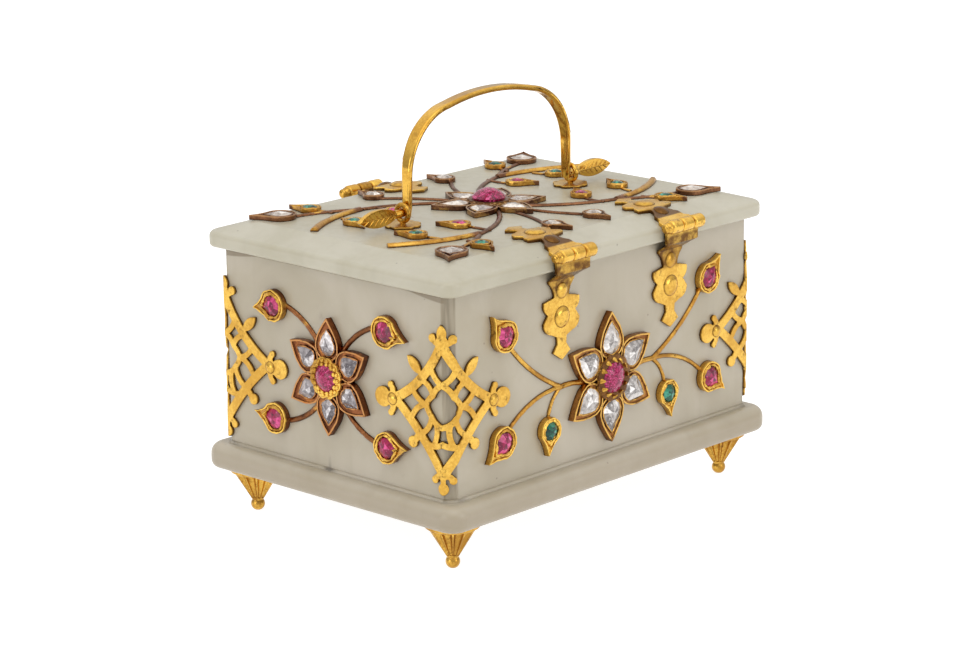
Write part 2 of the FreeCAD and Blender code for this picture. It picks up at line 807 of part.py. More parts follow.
node(free("hinge_wall_heads", Part.Compound(bosses(wall_heads))), "hinge_wall_rivets")
node(free("hinge_lid_heads", Part.Compound(bosses(lid_heads))), "hinge_lid_rivets")

# Hasp: a leaf on the lid's front edge, a hanging tongue with a slot, a pin and a staple.
node(lid_leaf("hasp_lid", 0, -1), "hasp_lid_leaf")
hasp_axis = Vector(0, -size("axis_depth"), size("axis_level"))
node(pin("hasp_pin_bar", hasp_axis), "hasp_pin")
hasp_heads = []
for (point, direction), shares in zip(lid_boss_places(), BOSS_SHARES):
    seat = Vector(0, -point.y, point.z)
    out = Vector(0, -direction.y, direction.z)
    hasp_heads.append(((seat, out), shares))
    lid_drills.append((seat, out * -1))
node(free("hasp_heads", Part.Compound(bosses(hasp_heads))), "hasp_rivets")

# Tongue outline: half-width and length shares below the barrel.
TONGUE_SHARES = (
    (0.78, 0.14),
    (0.78, 0.27),
    (0.52, 0.36),
    (0.52, 0.42),
    (0.94, 0.52),
    (0.84, 0.66),
    (1.0, 0.76),
    (0.60, 0.90),
)


def tongue():
    """The hanging plate, its knuckle and its slot, built about the pin's axis."""
    thick = size("tongue_thick")
    length = size("tongue_length")
    plate = plate_prism(TONGUE_SHARES, size("tongue_width"), length, thick)
    span = size("knuckle")
    web = Part.makeBox(span, length * TONGUE_SHARES[1][1], thick)
    web.translate(Vector(-span / 2, -length * TONGUE_SHARES[1][1], 0))
    plate = plate.fuse(web)
    slot = Part.makeBox(size("slot_width"), size("slot_length"), thick)
    slot.translate(Vector(-size("slot_width") / 2, -size("slot_top") - size("slot_length"), 0))
    plate = plate.cut(slot)
    plate.translate(Vector(0, 0, -thick / 2))
    start = Vector(-span / 2, 0, 0)
    plate = plate.fuse(Part.makeCylinder(size("barrel_radius"), span, start, Vector(1, 0, 0)))
    bore = size("pin_radius") + size("pin_play")
    plate = plate.cut(Part.makeCylinder(bore, 2 * span, start * 2, Vector(1, 0, 0)))
    turn = Rotation(Vector(1, 0, 0), Vector(0, 0, 1), Vector(0, -1, 0))
    return free("tongue_plate", plate.removeSplitter(), Placement(hasp_axis, turn))


node(tongue(), "hasp_tongue")


def staple():
    """A wire loop standing out of the front wall, its two legs let into the stone."""
    wire = size("staple_wire")
    half = size("staple_half")
    reach = size("staple_reach") - half - wire
    root = size("staple_root")
    bow = Part.makeTorus(half, wire, ORIGIN, Vector(1, 0, 0), 0, 360, 360)
    keep = Part.makeBox(4 * half, 4 * half, 4 * half)
    keep.translate(Vector(-2 * half, -4 * half, -2 * half))
    loop = bow.common(keep)
    for sense in (-1, 1):
        foot_point = Vector(0, 0, sense * half)
        loop = loop.fuse(Part.makeCylinder(wire, reach + root, foot_point, Vector(0, 1, 0)))
    level = size("axis_level") - size("staple_drop")
    place = Vector(0, -size("side_face") - reach, level)
    return free("staple_loop", loop.removeSplitter(), Placement(place, UPRIGHT))


node(staple(), "hasp_staple")

# Corner mounts: openwork plates bent round the corner flats. The flat pattern is written
# as shares of the reach across and of half the height, for one arm.
# Rim: across, up, and the inward bow of the stretch that arrives.
RIM_SHARES = ((0.0, 0.79, 0.0), (0.70, 0.02, 0.085), (0.0, -0.78, 0.045))
# Lattice: first end, second end, bow.
BAR_SHARES = (
    ((0.0, 0.295), (0.135, 0.152), 0.10),
    ((0.135, 0.152), (0.232, 0.03), 0.08),
    ((0.232, 0.03), (0.156, -0.10), 0.08),
    ((0.156, -0.10), (0.0, -0.205), 0.12),
    ((0.0, 0.295), (0.17, 0.53), -0.14),
    ((0.135, 0.152), (0.30, 0.31), 0.14),
    ((0.232, 0.03), (0.44, 0.19), -0.12),
    ((0.232, 0.03), (0.43, -0.12), 0.12),
    ((0.156, -0.10), (0.285, -0.31), -0.12),
    ((0.09, -0.17), (0.115, -0.41), -0.10),
    ((0.24, -0.42), (0.0, -0.40), 0.12),
    ((0.0, 0.79), (0.13, 0.83), -0.2),
    ((0.0, -0.78), (0.115, -0.83), 0.2),
    ((0.0, -0.78), (0.0, -0.93), 0.0),
)
# Discs of the trefoils and of the tips: across, up, radius as a share of the band.
DISC_SHARES = (
    (0.0, 0.80, 0.70),
    (0.13, 0.83, 0.46),
    (0.115, -0.83, 0.40),
    (0.0, -0.93, 0.62),
    (0.735, 0.0, 0.85),
    (0.765, 0.165, 0.36),
    (0.765, -0.165, 0.36),
    (0.44, -0.45, 0.60),
)
# Pointed leaves: across, up, direction, length and width as shares of the band.
MOUNT_LEAF_SHARES = (
    (0.0, 0.79, 90, 1.8, 1.15),
    (0.30, 0.37, 42, 2.5, 1.1),
    (0.31, -0.31, -47, 1.8, 0.75),
    (0.70, 0.03, 66, 1.5, 0.7),
    (0.70, -0.03, -66, 1.5, 0.7),
)
TIP_SHARE = 0.122
TIP_START_SHARE = 0.76


def bar(start, end, bow, width, thick):
    """A flat bar along an arc between two points, with round ends."""
    chord = end - start
    length = chord.Length
    across = Vector(-chord.y, chord.x, 0) / length
    ends = [
        Part.makeCylinder(width / 2, thick, start, Vector(0, 0, 1)),
        Part.makeCylinder(width / 2, thick, end, Vector(0, 0, 1)),
    ]
    if abs(bow) < TINY:
        corners = [start + across * width / 2, end + across * width / 2]
        corners += [end - across * width / 2, start - across * width / 2]
        face = Part.Face(Part.makePolygon(corners + corners[:1]))
        return [face.extrude(Vector(0, 0, thick))] + ends
    centre, radius = arc_centre(start, end, bow)
    edges = []
    rings = []
    for grow in (width / 2, -width / 2):
        points = []
        for point in (start, (start + end) / 2 + across * bow * length, end):
            ray = (point - centre) / (point - centre).Length
            points.append(centre + ray * (radius + grow))
        rings.append(points)
    edges.append(Part.Arc(*rings[0]).toShape())
    edges.append(Part.makeLine(rings[0][2], rings[1][2]))
    edges.append(Part.Arc(*reversed(rings[1])).toShape())
    edges.append(Part.makeLine(rings[1][0], rings[0][0]))
    face = Part.Face(Part.Wire(edges))
    return [face.extrude(Vector(0, 0, thick))] + ends


def arc_centre(start, end, bow):
    """Centre and radius of the arc whose height is a share of its chord."""
    chord = end - start
    length = chord.Length
    across = Vector(-chord.y, chord.x, 0) / length
    sag = bow * length
    radius = (length ** 2 / 4 + sag ** 2) / (2 * abs(sag))
    centre = (start + end) / 2 + across * (sag - math.copysign(radius, sag))
    return centre, radius


def vesica(length, width, belly=0.5):
    """A leaf outline pointed at both ends, from the origin along X."""
    tip = Vector(length, 0, 0)
    upper = Part.Arc(ORIGIN, Vector(length * belly, width / 2, 0), tip).toShape()
    lower = Part.Arc(tip, Vector(length * belly, -width / 2, 0), ORIGIN).toShape()
    return Part.Wire([upper, lower])


BUD_DIP_SHARE = 0.06


def drop_outline(radius, reach):
    """A bud outline: round behind, drawn out to a tip along X."""
    lean = math.acos(radius / reach)
    upper = Vector(radius * math.cos(lean), radius * math.sin(lean), 0)
    lower = Vector(upper.x, -upper.y, 0)
    tip = Vector(reach, 0, 0)
    dip = (tip - upper).Length * BUD_DIP_SHARE
    inward = Vector(-math.cos(lean), -math.sin(lean), 0) * dip
    hollow = (upper + tip) / 2 + inward
    under = Vector(hollow.x, -hollow.y, 0)
    edges = [
        Part.Arc(upper, Vector(-radius, 0, 0), lower).toShape(),
        Part.Arc(lower, under, tip).toShape(),
        Part.Arc(tip, hollow, upper).toShape(),
    ]
    return Part.Wire(edges)


# A petal's side is one curve; its two inner poles lie along and out by these shares.
PETAL_POLE_SHARES = ((0.14, 0.74), (0.53, 0.555))


def petal_outline(length, width):
    """A petal outline: full at its foot, drawn out to a sharp tip along X."""
    edges = []
    for sense in (1, -1):
        curve = Part.BezierCurve()
        poles = [Vector(a * length, sense * b * width, 0) for a, b in PETAL_POLE_SHARES]
        poles = [ORIGIN] + poles + [Vector(length, 0, 0)]
        curve.setPoles(poles if sense > 0 else poles[::-1])
        edges.append(curve.toShape())
    return Part.Wire(edges)


def prism(wire, height, foot=0):
    """An outline drawn up from a height."""
    solid = Part.Face(wire).extrude(Vector(0, 0, height))
    solid.translate(Vector(0, 0, foot))
    return solid


def turned(shape, x, y, angle):
    """A copy turned about Z and shifted in its plane."""
    return moved(shape, Placement(Vector(x, y, 0), Rotation(Vector(0, 0, 1), angle)))


def openwork():
    """The flat pattern of a mount, its middle shifted off the corner towards the end wall."""
    half = size("mount_height") / 2
    reach = size("mount_reach")
    thick = size("mount_thick")
    band = size("mount_band")
    parts = []
    for sense in (1, -1):
        def spot(across, up):
            return Vector(sense * across * reach, up * half, 0)

        def facing(angle):
            return angle if sense > 0 else 180 - angle
        for first, second in zip(RIM_SHARES, RIM_SHARES[1:]):
            bow = -sense * second[2]
            parts += bar(spot(*first[:2]), spot(*second[:2]), bow, band, thick)
        for first, second, bow in BAR_SHARES:
            width = size("mount_bar")
            parts += bar(spot(*first), spot(*second), sense * bow, width, thick)
        for across, up, share in DISC_SHARES:
            parts.append(Part.makeCylinder(share * band, thick, spot(across, up)))
        for across, up, angle, long_share, wide_share in MOUNT_LEAF_SHARES:
            leaf = prism(vesica(long_share * band, wide_share * band), thick)
            place = spot(across, up)
            parts.append(turned(leaf, place.x, place.y, facing(angle)))
        tip = prism(vesica((1 - TIP_START_SHARE) * reach, 2 * TIP_SHARE * half), thick)
        place = spot(TIP_START_SHARE, 0)
        parts.append(turned(tip, place.x, place.y, facing(0)))
    whole = parts[0].multiFuse(parts[1:]).removeSplitter()
    return moved(whole, Placement(Vector(size("mount_shift"), 0, 0), UPRIGHT))


def corner_mount(name, sign_x, sign_y):
    """A mount bent over the flat of one corner."""
    thick = size("mount_thick")
    lap = thick * math.tan(math.radians(45) / 2)
    fold = size("corner_flat") / math.sqrt(2) + lap
    wide = size("mount_height")
    flat = openwork()
    pieces = []
    middle = Part.makeBox(2 * fold, 2 * wide, thick)
    middle.translate(Vector(-fold, -wide, 0))
    arm = Part.makeBox(wide, 2 * wide, thick)
    arm.translate(Vector(fold, -wide, 0))
    other = Part.makeBox(wide, 2 * wide, thick)
    other.translate(Vector(-fold - wide, -wide, 0))
    level = size("mount_level")
    # End arm: across runs along -Y on the +X face; side arm: across runs along -X on +Y.
    strip = flat.common(arm)
    strip.translate(Vector(-fold, 0, -thick))
    edge = Vector(size("end_face") + thick, size("deep_flat") + lap, level)
    end_turn = Rotation(Vector(0, -1, 0), Vector(0, 0, 1), Vector(-1, 0, 0))
    mirrored = strip.mirror(ORIGIN, Vector(0, 0, 1))
    pieces.append(moved(mirrored, Placement(edge, end_turn)))
    strip = flat.common(other)
    strip.translate(Vector(fold, 0, -thick))
    edge = Vector(size("long_flat") + lap, size("side_face") + thick, level)
    side_turn = Rotation(Vector(1, 0, 0), Vector(0, 0, 1), Vector(0, -1, 0))
    mirrored = strip.mirror(ORIGIN, Vector(0, 0, 1))
    pieces.append(moved(mirrored, Placement(edge, side_turn)))
    strip = flat.common(middle)
    strip.translate(Vector(0, 0, -thick))
    root = math.sqrt(2) / 2
    corner = Vector(size("long_mitre"), size("deep_mitre"), level)
    corner += Vector(root, root, 0) * thick
    flat_turn = Rotation(Vector(root, -root, 0), Vector(0, 0, 1), Vector(-root, -root, 0))
    mirrored = strip.mirror(ORIGIN, Vector(0, 0, 1))
    pieces.append(moved(mirrored, Placement(corner, flat_turn)))
    bent = pieces[0].multiFuse(pieces[1:])
    if sign_x < 0:
        bent = bent.mirror(ORIGIN, Vector(1, 0, 0))
    if sign_y < 0:
        bent = bent.mirror(ORIGIN, Vector(0, 1, 0))
    return free(name, bent)


def rivet_seats(sign_x, sign_y):
    """Where the two rivet heads of a mount sit, and which way they face."""
    lap = size("mount_thick") * math.tan(math.radians(45) / 2)
    fold = size("corner_flat") / math.sqrt(2) + lap
    run = DISC_SHARES[RIVET_DISC][0] * size("mount_reach")
    across = run + size("mount_shift") - fold
    end_out = size("end_face") + size("mount_thick")
    first = Vector(sign_x * end_out, sign_y * (size("deep_flat") + lap - across), 0)
    across = run - size("mount_shift") - fold
    side_out = size("side_face") + size("mount_thick")
    second = Vector(sign_x * (size("long_flat") + lap - across), sign_y * side_out, 0)
    rise = Vector(0, 0, size("mount_level"))
    return [(first + rise, Vector(sign_x, 0, 0)), (second + rise, Vector(0, sign_y, 0))]


RIVET_DISC = 4
RIVET_HOLE = size("rivet_radius") + size("fit_gap")
CORNERS = (("front", "left"), ("front", "right"), ("back", "left"), ("back", "right"))
corner_heads = []
wall_holes = {"front": [], "back": list(wall_drills), "left": [], "right": []}
for end, side in CORNERS:
    sign_x = 1 if side == "right" else -1
    sign_y = 1 if end == "back" else -1
    mount = corner_mount("mount_%s_%s" % (end, side), sign_x, sign_y)
    seats = rivet_seats(sign_x, sign_y)
    for (point, direction), wall_name in zip(seats, (side, end)):
        head = dome(
            size("mount_rivet"), size("mount_dome"), size("rivet_radius"), size("rivet_depth")
        )
        corner_heads.append(moved(head, Placement(point, Rotation(Vector(0, 0, 1), direction))))
        wall_holes[wall_name].append((point, direction * -1))
    drills = [(point, direction * -1) for point, direction in seats]
    tool = holes(mount.Name + "_holes", drills, RIVET_HOLE, size("rivet_depth"))
    node(cut(mount.Name + "_drilled", mount, tool), "corner_mount_%s_%s" % (end, side))
node(free("corner_heads", Part.Compound(corner_heads)), "corner_rivets")

# Wall drillings: rivet holes, and on the front the two holes of the staple's legs.
for key, slab in walls.items():
    bars = [
        Part.makeCylinder(RIVET_HOLE, size("rivet_depth") + size("fit_gap"), p, d)
        for p, d in wall_holes[key]
    ]
    if key == "front":
        level = size("axis_level") - size("staple_drop")
        for sense in (-1, 1):
            point = Vector(0, -size("side_face"), level + sense * size("staple_half"))
            hole = size("staple_wire") + size("fit_gap")
            depth = size("staple_root") + size("fit_gap")
            bars.append(Part.makeCylinder(hole, depth, point, Vector(0, 1, 0)))
    tool = free("wall_%s_holes" % key, Part.Compound(bars))
    node(cut("wall_%s_drilled" % key, slab, tool), "wall_" + key)

# Handle: a strap bent to a low arch, journals in two ring eyes, leaf ends beyond them.
ARCH = [
    ("leg_out", "leg_foot"),
    ("leg_out", "shoulder"),
    ("arch_end_x", "arch_end_z", "arch_via_x", "arch_via_z"),
    (("arch_end_x", -1), "arch_end_z", 0, "arch_top"),
    (("leg_out", -1), "shoulder", ("arch_via_x", -1), "arch_via_z"),
    (("leg_out", -1), "leg_foot"),
    (("leg_in", -1), "leg_foot"),
    (("leg_in", -1), "shoulder"),
    (("inner_end_x", -1), "inner_end_z", ("inner_via_x", -1), "inner_via_z"),
    ("inner_end_x", "inner_end_z", 0, "arch_under"),
    ("leg_in", "shoulder", "inner_via_x", "inner_via_z"),
    ("leg_in", "leg_foot"),
]
TAPER = [
    (("handle_foot_width", 0.5), "leg_foot"),
    (("handle_width", 0.5), "taper_level"),
    (("handle_width", 0.5), "arch_top"),
    (("handle_width", -0.5), "arch_top"),
    (("handle_width", -0.5), "taper_level"),
    (("handle_foot_width", -0.5), "leg_foot"),
]
wide = ("handle_width", 0.5)
strap = extrusion("handle_strap", ARCH, ALONG_Y, Vector(0, 1, 0), wide, wide)
wide = ("handle_span", 1)
taper = extrusion("handle_taper", TAPER, ALONG_X, Vector(1, 0, 0), wide, wide)
strap = common("handle_tapered", strap, taper)
FINIAL_THICK_SHARE = 0.8
FINIAL_BELLY_SHARE = 0.62
ends = []
for sense in (-1, 1):
    start = Vector(sense * size("handle_span") / 2, 0, size("handle_axis"))
    away = Vector(sense, 0, 0)
    long = size("journal_length") + size("handle_thick")
    ends.append(Part.makeCylinder(size("journal_radius"), long, start, away))
    thick = size("handle_thick") * FINIAL_THICK_SHARE
    leaf = prism(vesica(size("finial_length"), size("finial_width"), FINIAL_BELLY_SHARE), thick)
    leaf.translate(Vector(0, 0, -thick / 2))
    turn = Rotation(away, Vector(0, 0, 1), away.cross(Vector(0, 0, 1)))
    ends.append(moved(leaf, Placement(start + away * size("journal_length"), turn)))
ends = [free("handle_end%d" % i, shape) for i, shape in enumerate(ends)]
node(joined("handle_whole", [strap] + ends), "handle_bail")

ROSETTE_LOBES = 8
LOBE_SHARE = 0.86


def scalloped(radius, lobes, share):
    """A round outline of outward lobes."""
    edges = []
    step = 2 * math.pi / lobes
    for index in range(lobes):
        points = []
        for turn, reach in ((0, share), (0.5, 1), (1, share)):
            angle = (index + turn) * step
            points.append(Vector(math.cos(angle), math.sin(angle), 0) * radius * reach)
        edges.append(Part.Arc(*points).toShape())
    return Part.Wire(edges)


eye_drills = []
for side, sense in (("left", -1), ("right", 1)):
    axis = Vector(sense * size("eye_place"), 0, size("handle_axis"))
    ring = Part.makeTorus(size("eye_radius"), size("eye_wire"), axis, Vector(1, 0, 0))
    foot_level = size("lid_top") - size("eye_depth")
    shank_top = size("handle_axis") - size("eye_radius")
    root = Vector(axis.x, 0, foot_level)
    shank = Part.makeCylinder(size("eye_shank"), shank_top - foot_level, root)
    node(free("eye_ring_" + side, ring.fuse(shank).removeSplitter()), "handle_eye_" + side)
    hole = size("eye_shank") + size("fit_gap")
    plate = prism(scalloped(size("rosette_radius"), ROSETTE_LOBES, LOBE_SHARE), size("rosette_thick"))
    plate = plate.cut(Part.makeCylinder(hole, size("rosette_thick"), ORIGIN))
    place = Placement(Vector(axis.x, 0, size("lid_top")), UPRIGHT)
    node(free("rosette_" + side, plate, place), "handle_rosette_" + side)
    down = size("eye_depth") + size("fit_gap")
    eye_drills.append(Part.makeCylinder(hole, down, place.Base, Vector(0, 0, -1)))
bars = [
    Part.makeCylinder(RIVET_HOLE, size("rivet_depth") + size("fit_gap"), p, d)
    for p, d in lid_drills
]
tool = free("lid_holes", Part.Compound(bars + eye_drills))
node(cut("lid_drilled", lid, tool), "lid_slab")

# Flowers, sprays and stones. Each face is drawn flat, across and up from the middle of the
# wall's foot line, or from the middle of the lid's top, and then set on its face.
PETALS = 6
PETAL_START_SHARE = 0.5
PETAL_WIDTH_SHARE = 0.54
PETAL_ROOT_SHARE = 0.26
PETAL_BELLY_SHARE = 0.36
PETAL_STONE_LONG_SHARE = 0.64
PETAL_STONE_WIDE_SHARE = 0.70
BUD_STONE_SHARE = 0.64
FRAME_STONE_SHARE = 0.74
STONE_POINT_SHARE = 1.4
COLLAR_SHARE = 0.36
COLLAR_LOBES = 12
COLLAR_LOBE_SHARE = 0.92
RUBY_SHARE = 0.64
TABLE_SHARE = 0.55


def cut_stone(shape_of, floor, girdle, crown):
    """A stone with an upright girdle and a bevelled crown up to a table."""
    low = shape_of(1)
    low.translate(Vector(0, 0, floor))
    middle = shape_of(1)
    middle.translate(Vector(0, 0, girdle))
    table = shape_of(TABLE_SHARE)
    table.translate(Vector(0, 0, girdle + crown))
    return Part.makeLoft([low, middle, table], True, True)


def drop_setting(radius, reach, stone_share, low_share):
    """A bud setting, its seat and its stone, about the bud's round middle."""
    tall = size("setting_height") * low_share
    floor = size("seat_floor") * low_share
    depth = size("tray_depth") * low_share
    crown = size("crown_height") * low_share
    shell = prism(drop_outline(radius, reach), tall)
    within = radius - size("setting_lip")
    shell = shell.cut(prism(drop_outline(within, within * reach / radius), tall, tall - depth))
    inner = radius * stone_share
    seat = prism(drop_outline(inner, inner * STONE_POINT_SHARE), tall, floor)
    snug = inner - size("fit_gap")

    def shape_of(share):
        return drop_outline(snug * share, snug * share * STONE_POINT_SHARE)
    return shell, seat, cut_stone(shape_of, floor, tall - depth / 2, crown)


def petal_setting(radius, fill_share, low_share):
    """A petal setting, its seat and its stone, from the flower's middle along X."""
    root = radius * PETAL_ROOT_SHARE
    long = radius - root
    wide = radius * PETAL_WIDTH_SHARE
    tall = size("petal_height") * low_share
    floor = size("seat_floor") * low_share
    depth = size("tray_depth") * low_share
    crown = size("crown_height") * low_share
    belly = root + long * PETAL_BELLY_SHARE
    within = (wide - 2 * size("setting_lip")) / wide
    tray = prism(petal_outline(long * within, wide * within), tall)
    tray.translate(Vector(belly - long * within * PETAL_BELLY_SHARE, 0, tall - depth))
    shell = prism(petal_outline(long, wide), tall)
    shell.translate(Vector(root, 0, 0))
    shell = shell.cut(tray)

    def shape_of(share, gap=size("fit_gap")):
        run = long * PETAL_STONE_LONG_SHARE * fill_share * share - 2 * gap
        span = wide * PETAL_STONE_WIDE_SHARE * fill_share * share - 2 * gap
        wire = petal_outline(run, span)
        wire.translate(Vector(belly - run * PETAL_BELLY_SHARE, 0, 0))
        return wire
    seat = prism(shape_of(1, 0), tall, floor)
    return shell, seat, cut_stone(shape_of, floor, tall - depth / 2, crown)


def flower(x, y, radius, fill_share, low_share):
    """Petals and a scalloped collar as one mount, the petal stones and the middle ruby."""
    shells = []
    seats = []
    stones = []
    for index in range(PETALS):
        angle = (index + PETAL_START_SHARE) * 360 / PETALS
        shell, seat, stone = petal_setting(radius, fill_share, low_share)
        shells.append(turned(shell, x, y, angle))
        seats.append(turned(seat, x, y, angle))
        stones.append(turned(stone, x, y, angle))
    collar = radius * COLLAR_SHARE
    tall = size("collar_height") * low_share
    ring = prism(scalloped(collar, COLLAR_LOBES, COLLAR_LOBE_SHARE), tall)
    shells.append(turned(ring, x, y, 0))
    gem = collar * RUBY_SHARE
    floor = size("seat_floor") * low_share
    middle = Vector(x, y, floor)
    seats.append(Part.makeCylinder(gem, tall, middle))
    snug = gem - size("fit_gap")
    head = dome(snug, size("ruby_dome"), snug / 2, size("fit_gap"))
    top = Part.makeCylinder(snug, tall - floor, middle)
    ruby = top.fuse(moved(head, Placement(Vector(x, y, tall), UPRIGHT))).removeSplitter()
    outer = shells[0].multiFuse(shells[1:])
    return outer, outer.cut(Part.Compound(seats)).removeSplitter(), stones, ruby


def stem(start, end, bow, width):
    """A half-round stem lying on the face along an arc."""
    chord = end - start
    length = chord.Length
    across = Vector(-chord.y, chord.x, 0) / length
    centre, radius = arc_centre(start, end, bow)
    ray = (start - centre) / radius
    up = Vector(0, 0, width / 2)
    side = ray * width / 2
    edges = [
        Part.makeLine(start - side, start + side),
        Part.Arc(start + side, start + up, start - side).toShape(),
    ]
    face = Part.Face(Part.Wire(edges))
    sweep = math.degrees(2 * math.asin(min(1.0, length / (2 * radius))))
    sense = Vector(0, 0, -1 if bow > 0 else 1)
    return face.revolve(centre, sense, sweep)


def along(angle, length):
    """A step in the flat by a direction."""
    return Vector(math.cos(math.radians(angle)), math.sin(math.radians(angle)), 0) * length


BEHIND_SHARE = 0.7


class Spray:
    """Stems and settings gathered on one face, and the stones that sit in them."""

    def __init__(self, low_share):
        self.low_share = low_share
        self.gold = []
        self.seats = []
        self.stones = {"diamonds": [], "rubies": [], "emeralds": []}

    def bud(self, kind, place, angle, radius, reach):
        """Adds a setting with its stone and gives the point where its stem arrives."""
        stone_share = FRAME_STONE_SHARE if kind == "diamonds" else BUD_STONE_SHARE
        shell, seat, stone = drop_setting(size(radius), size(reach), stone_share, self.low_share)
        self.gold.append(turned(shell, place.x, place.y, angle))
        self.seats.append(turned(seat, place.x, place.y, angle))
        self.stones[kind].append(turned(stone, place.x, place.y, angle))
        return place - along(angle, size(radius) * BEHIND_SHARE)

    def stalk(self, start, end, bow, thin_share=1, width="stem_width"):
        """Adds a stem; a branch is thinner than the stem it leaves."""
        self.gold.append(stem(start, end, bow, size(width) * thin_share))

    def metal(self, flowers):
        """All stems and settings fused, clear of the flower and of the seats."""
        fused = self.gold[0].multiFuse(self.gold[1:])
        return fused.cut(Part.Compound(self.seats)).cut(flowers)


BRANCH_SHARES = (0.93, 0.86, 0.79)
WALL_LOW_SHARE = 1
LID_LOW_SHARE = 0.7
END_FILL_SHARE = 0.96
SIDE_FILL_SHARE = 1.08
LID_FILL_SHARE = 1.04


def end_face_work():
    """Flower and four ruby buds of an end wall."""
    flower_share = 0.48
    # bud places across half the wall's depth and up its height, their lean and the stem's bow
    bud_shares = ((0.493, 0.771, -12, 0.10), (0.493, 0.203, 6, -0.10))
    stem_start_share = 0.45
    stem_start_turn = 61
    middle = Vector(0, flower_share * size("wall_height"), 0)
    outer, metal, petals, ruby = flower(0, middle.y, size("end_flower"), END_FILL_SHARE, WALL_LOW_SHARE)
    spray = Spray(WALL_LOW_SHARE)
    for sense in (-1, 1):
        for across, up, lean, bow in bud_shares:
            place = Vector(sense * across * size("wall_depth") / 2, up * size("wall_height"), 0)
            angle = lean if sense > 0 else 180 - lean
            end = spray.bud("rubies", place, angle, "bud_radius", "bud_reach")
            turn = stem_start_turn if place.y > middle.y else -stem_start_turn
            turn = turn if sense > 0 else 180 - turn
            start = middle + along(turn, size("end_flower") * stem_start_share)
            spray.stalk(start, end, sense * bow)
    spray.stones["diamonds"] += petals
    spray.stones["rubies"].append(ruby)
    return metal, spray.metal(outer), spray.stones


def side_face_work():
    """Flower, four ruby buds and two emerald leaves of a long wall."""
    flower_share = 0.39
    start_share = 0.5
    fork_share = (0.305, 0.407)
    upper_share = (0.677, 0.745)
    lower_share = (0.693, 0.227)
    leaf_share = (0.397, 0.2126)
    upper_turn, lower_turn, leaf_turn = 52, -38, -82
    root_bow_share, upper_bow_share, lower_bow_share, leaf_bow_share = 0.05, -0.06, 0.10, 0.12
    high = size("wall_height")
    half = size("end_face")
    middle = Vector(0, flower_share * high, 0)
    outer, metal, petals, ruby = flower(0, middle.y, size("side_flower"), SIDE_FILL_SHARE, WALL_LOW_SHARE)
    spray = Spray(WALL_LOW_SHARE)
    for sense in (-1, 1):
        def spot(share):
            return Vector(sense * share[0] * half, share[1] * high, 0)

        def facing(angle):
            return angle if sense > 0 else 180 - angle
        fork = spot(fork_share)
        start = middle + Vector(sense * start_share * size("side_flower"), 0, 0)
        spray.stalk(start, fork, sense * root_bow_share)
        end = spray.bud("rubies", spot(upper_share), facing(upper_turn), "bud_radius", "bud_reach")
        spray.stalk(fork, end, sense * upper_bow_share, BRANCH_SHARES[0])
        end = spray.bud("rubies", spot(lower_share), facing(lower_turn), "bud_radius", "bud_reach")
        spray.stalk(fork, end, sense * lower_bow_share, BRANCH_SHARES[1])
        end = spray.bud("emeralds", spot(leaf_share), facing(leaf_turn), "leaf_radius", "leaf_reach")
        spray.stalk(fork, end, sense * leaf_bow_share, BRANCH_SHARES[2])
    spray.stones["diamonds"] += petals
    spray.stones["rubies"].append(ruby)
    return metal, spray.metal(outer), spray.stones


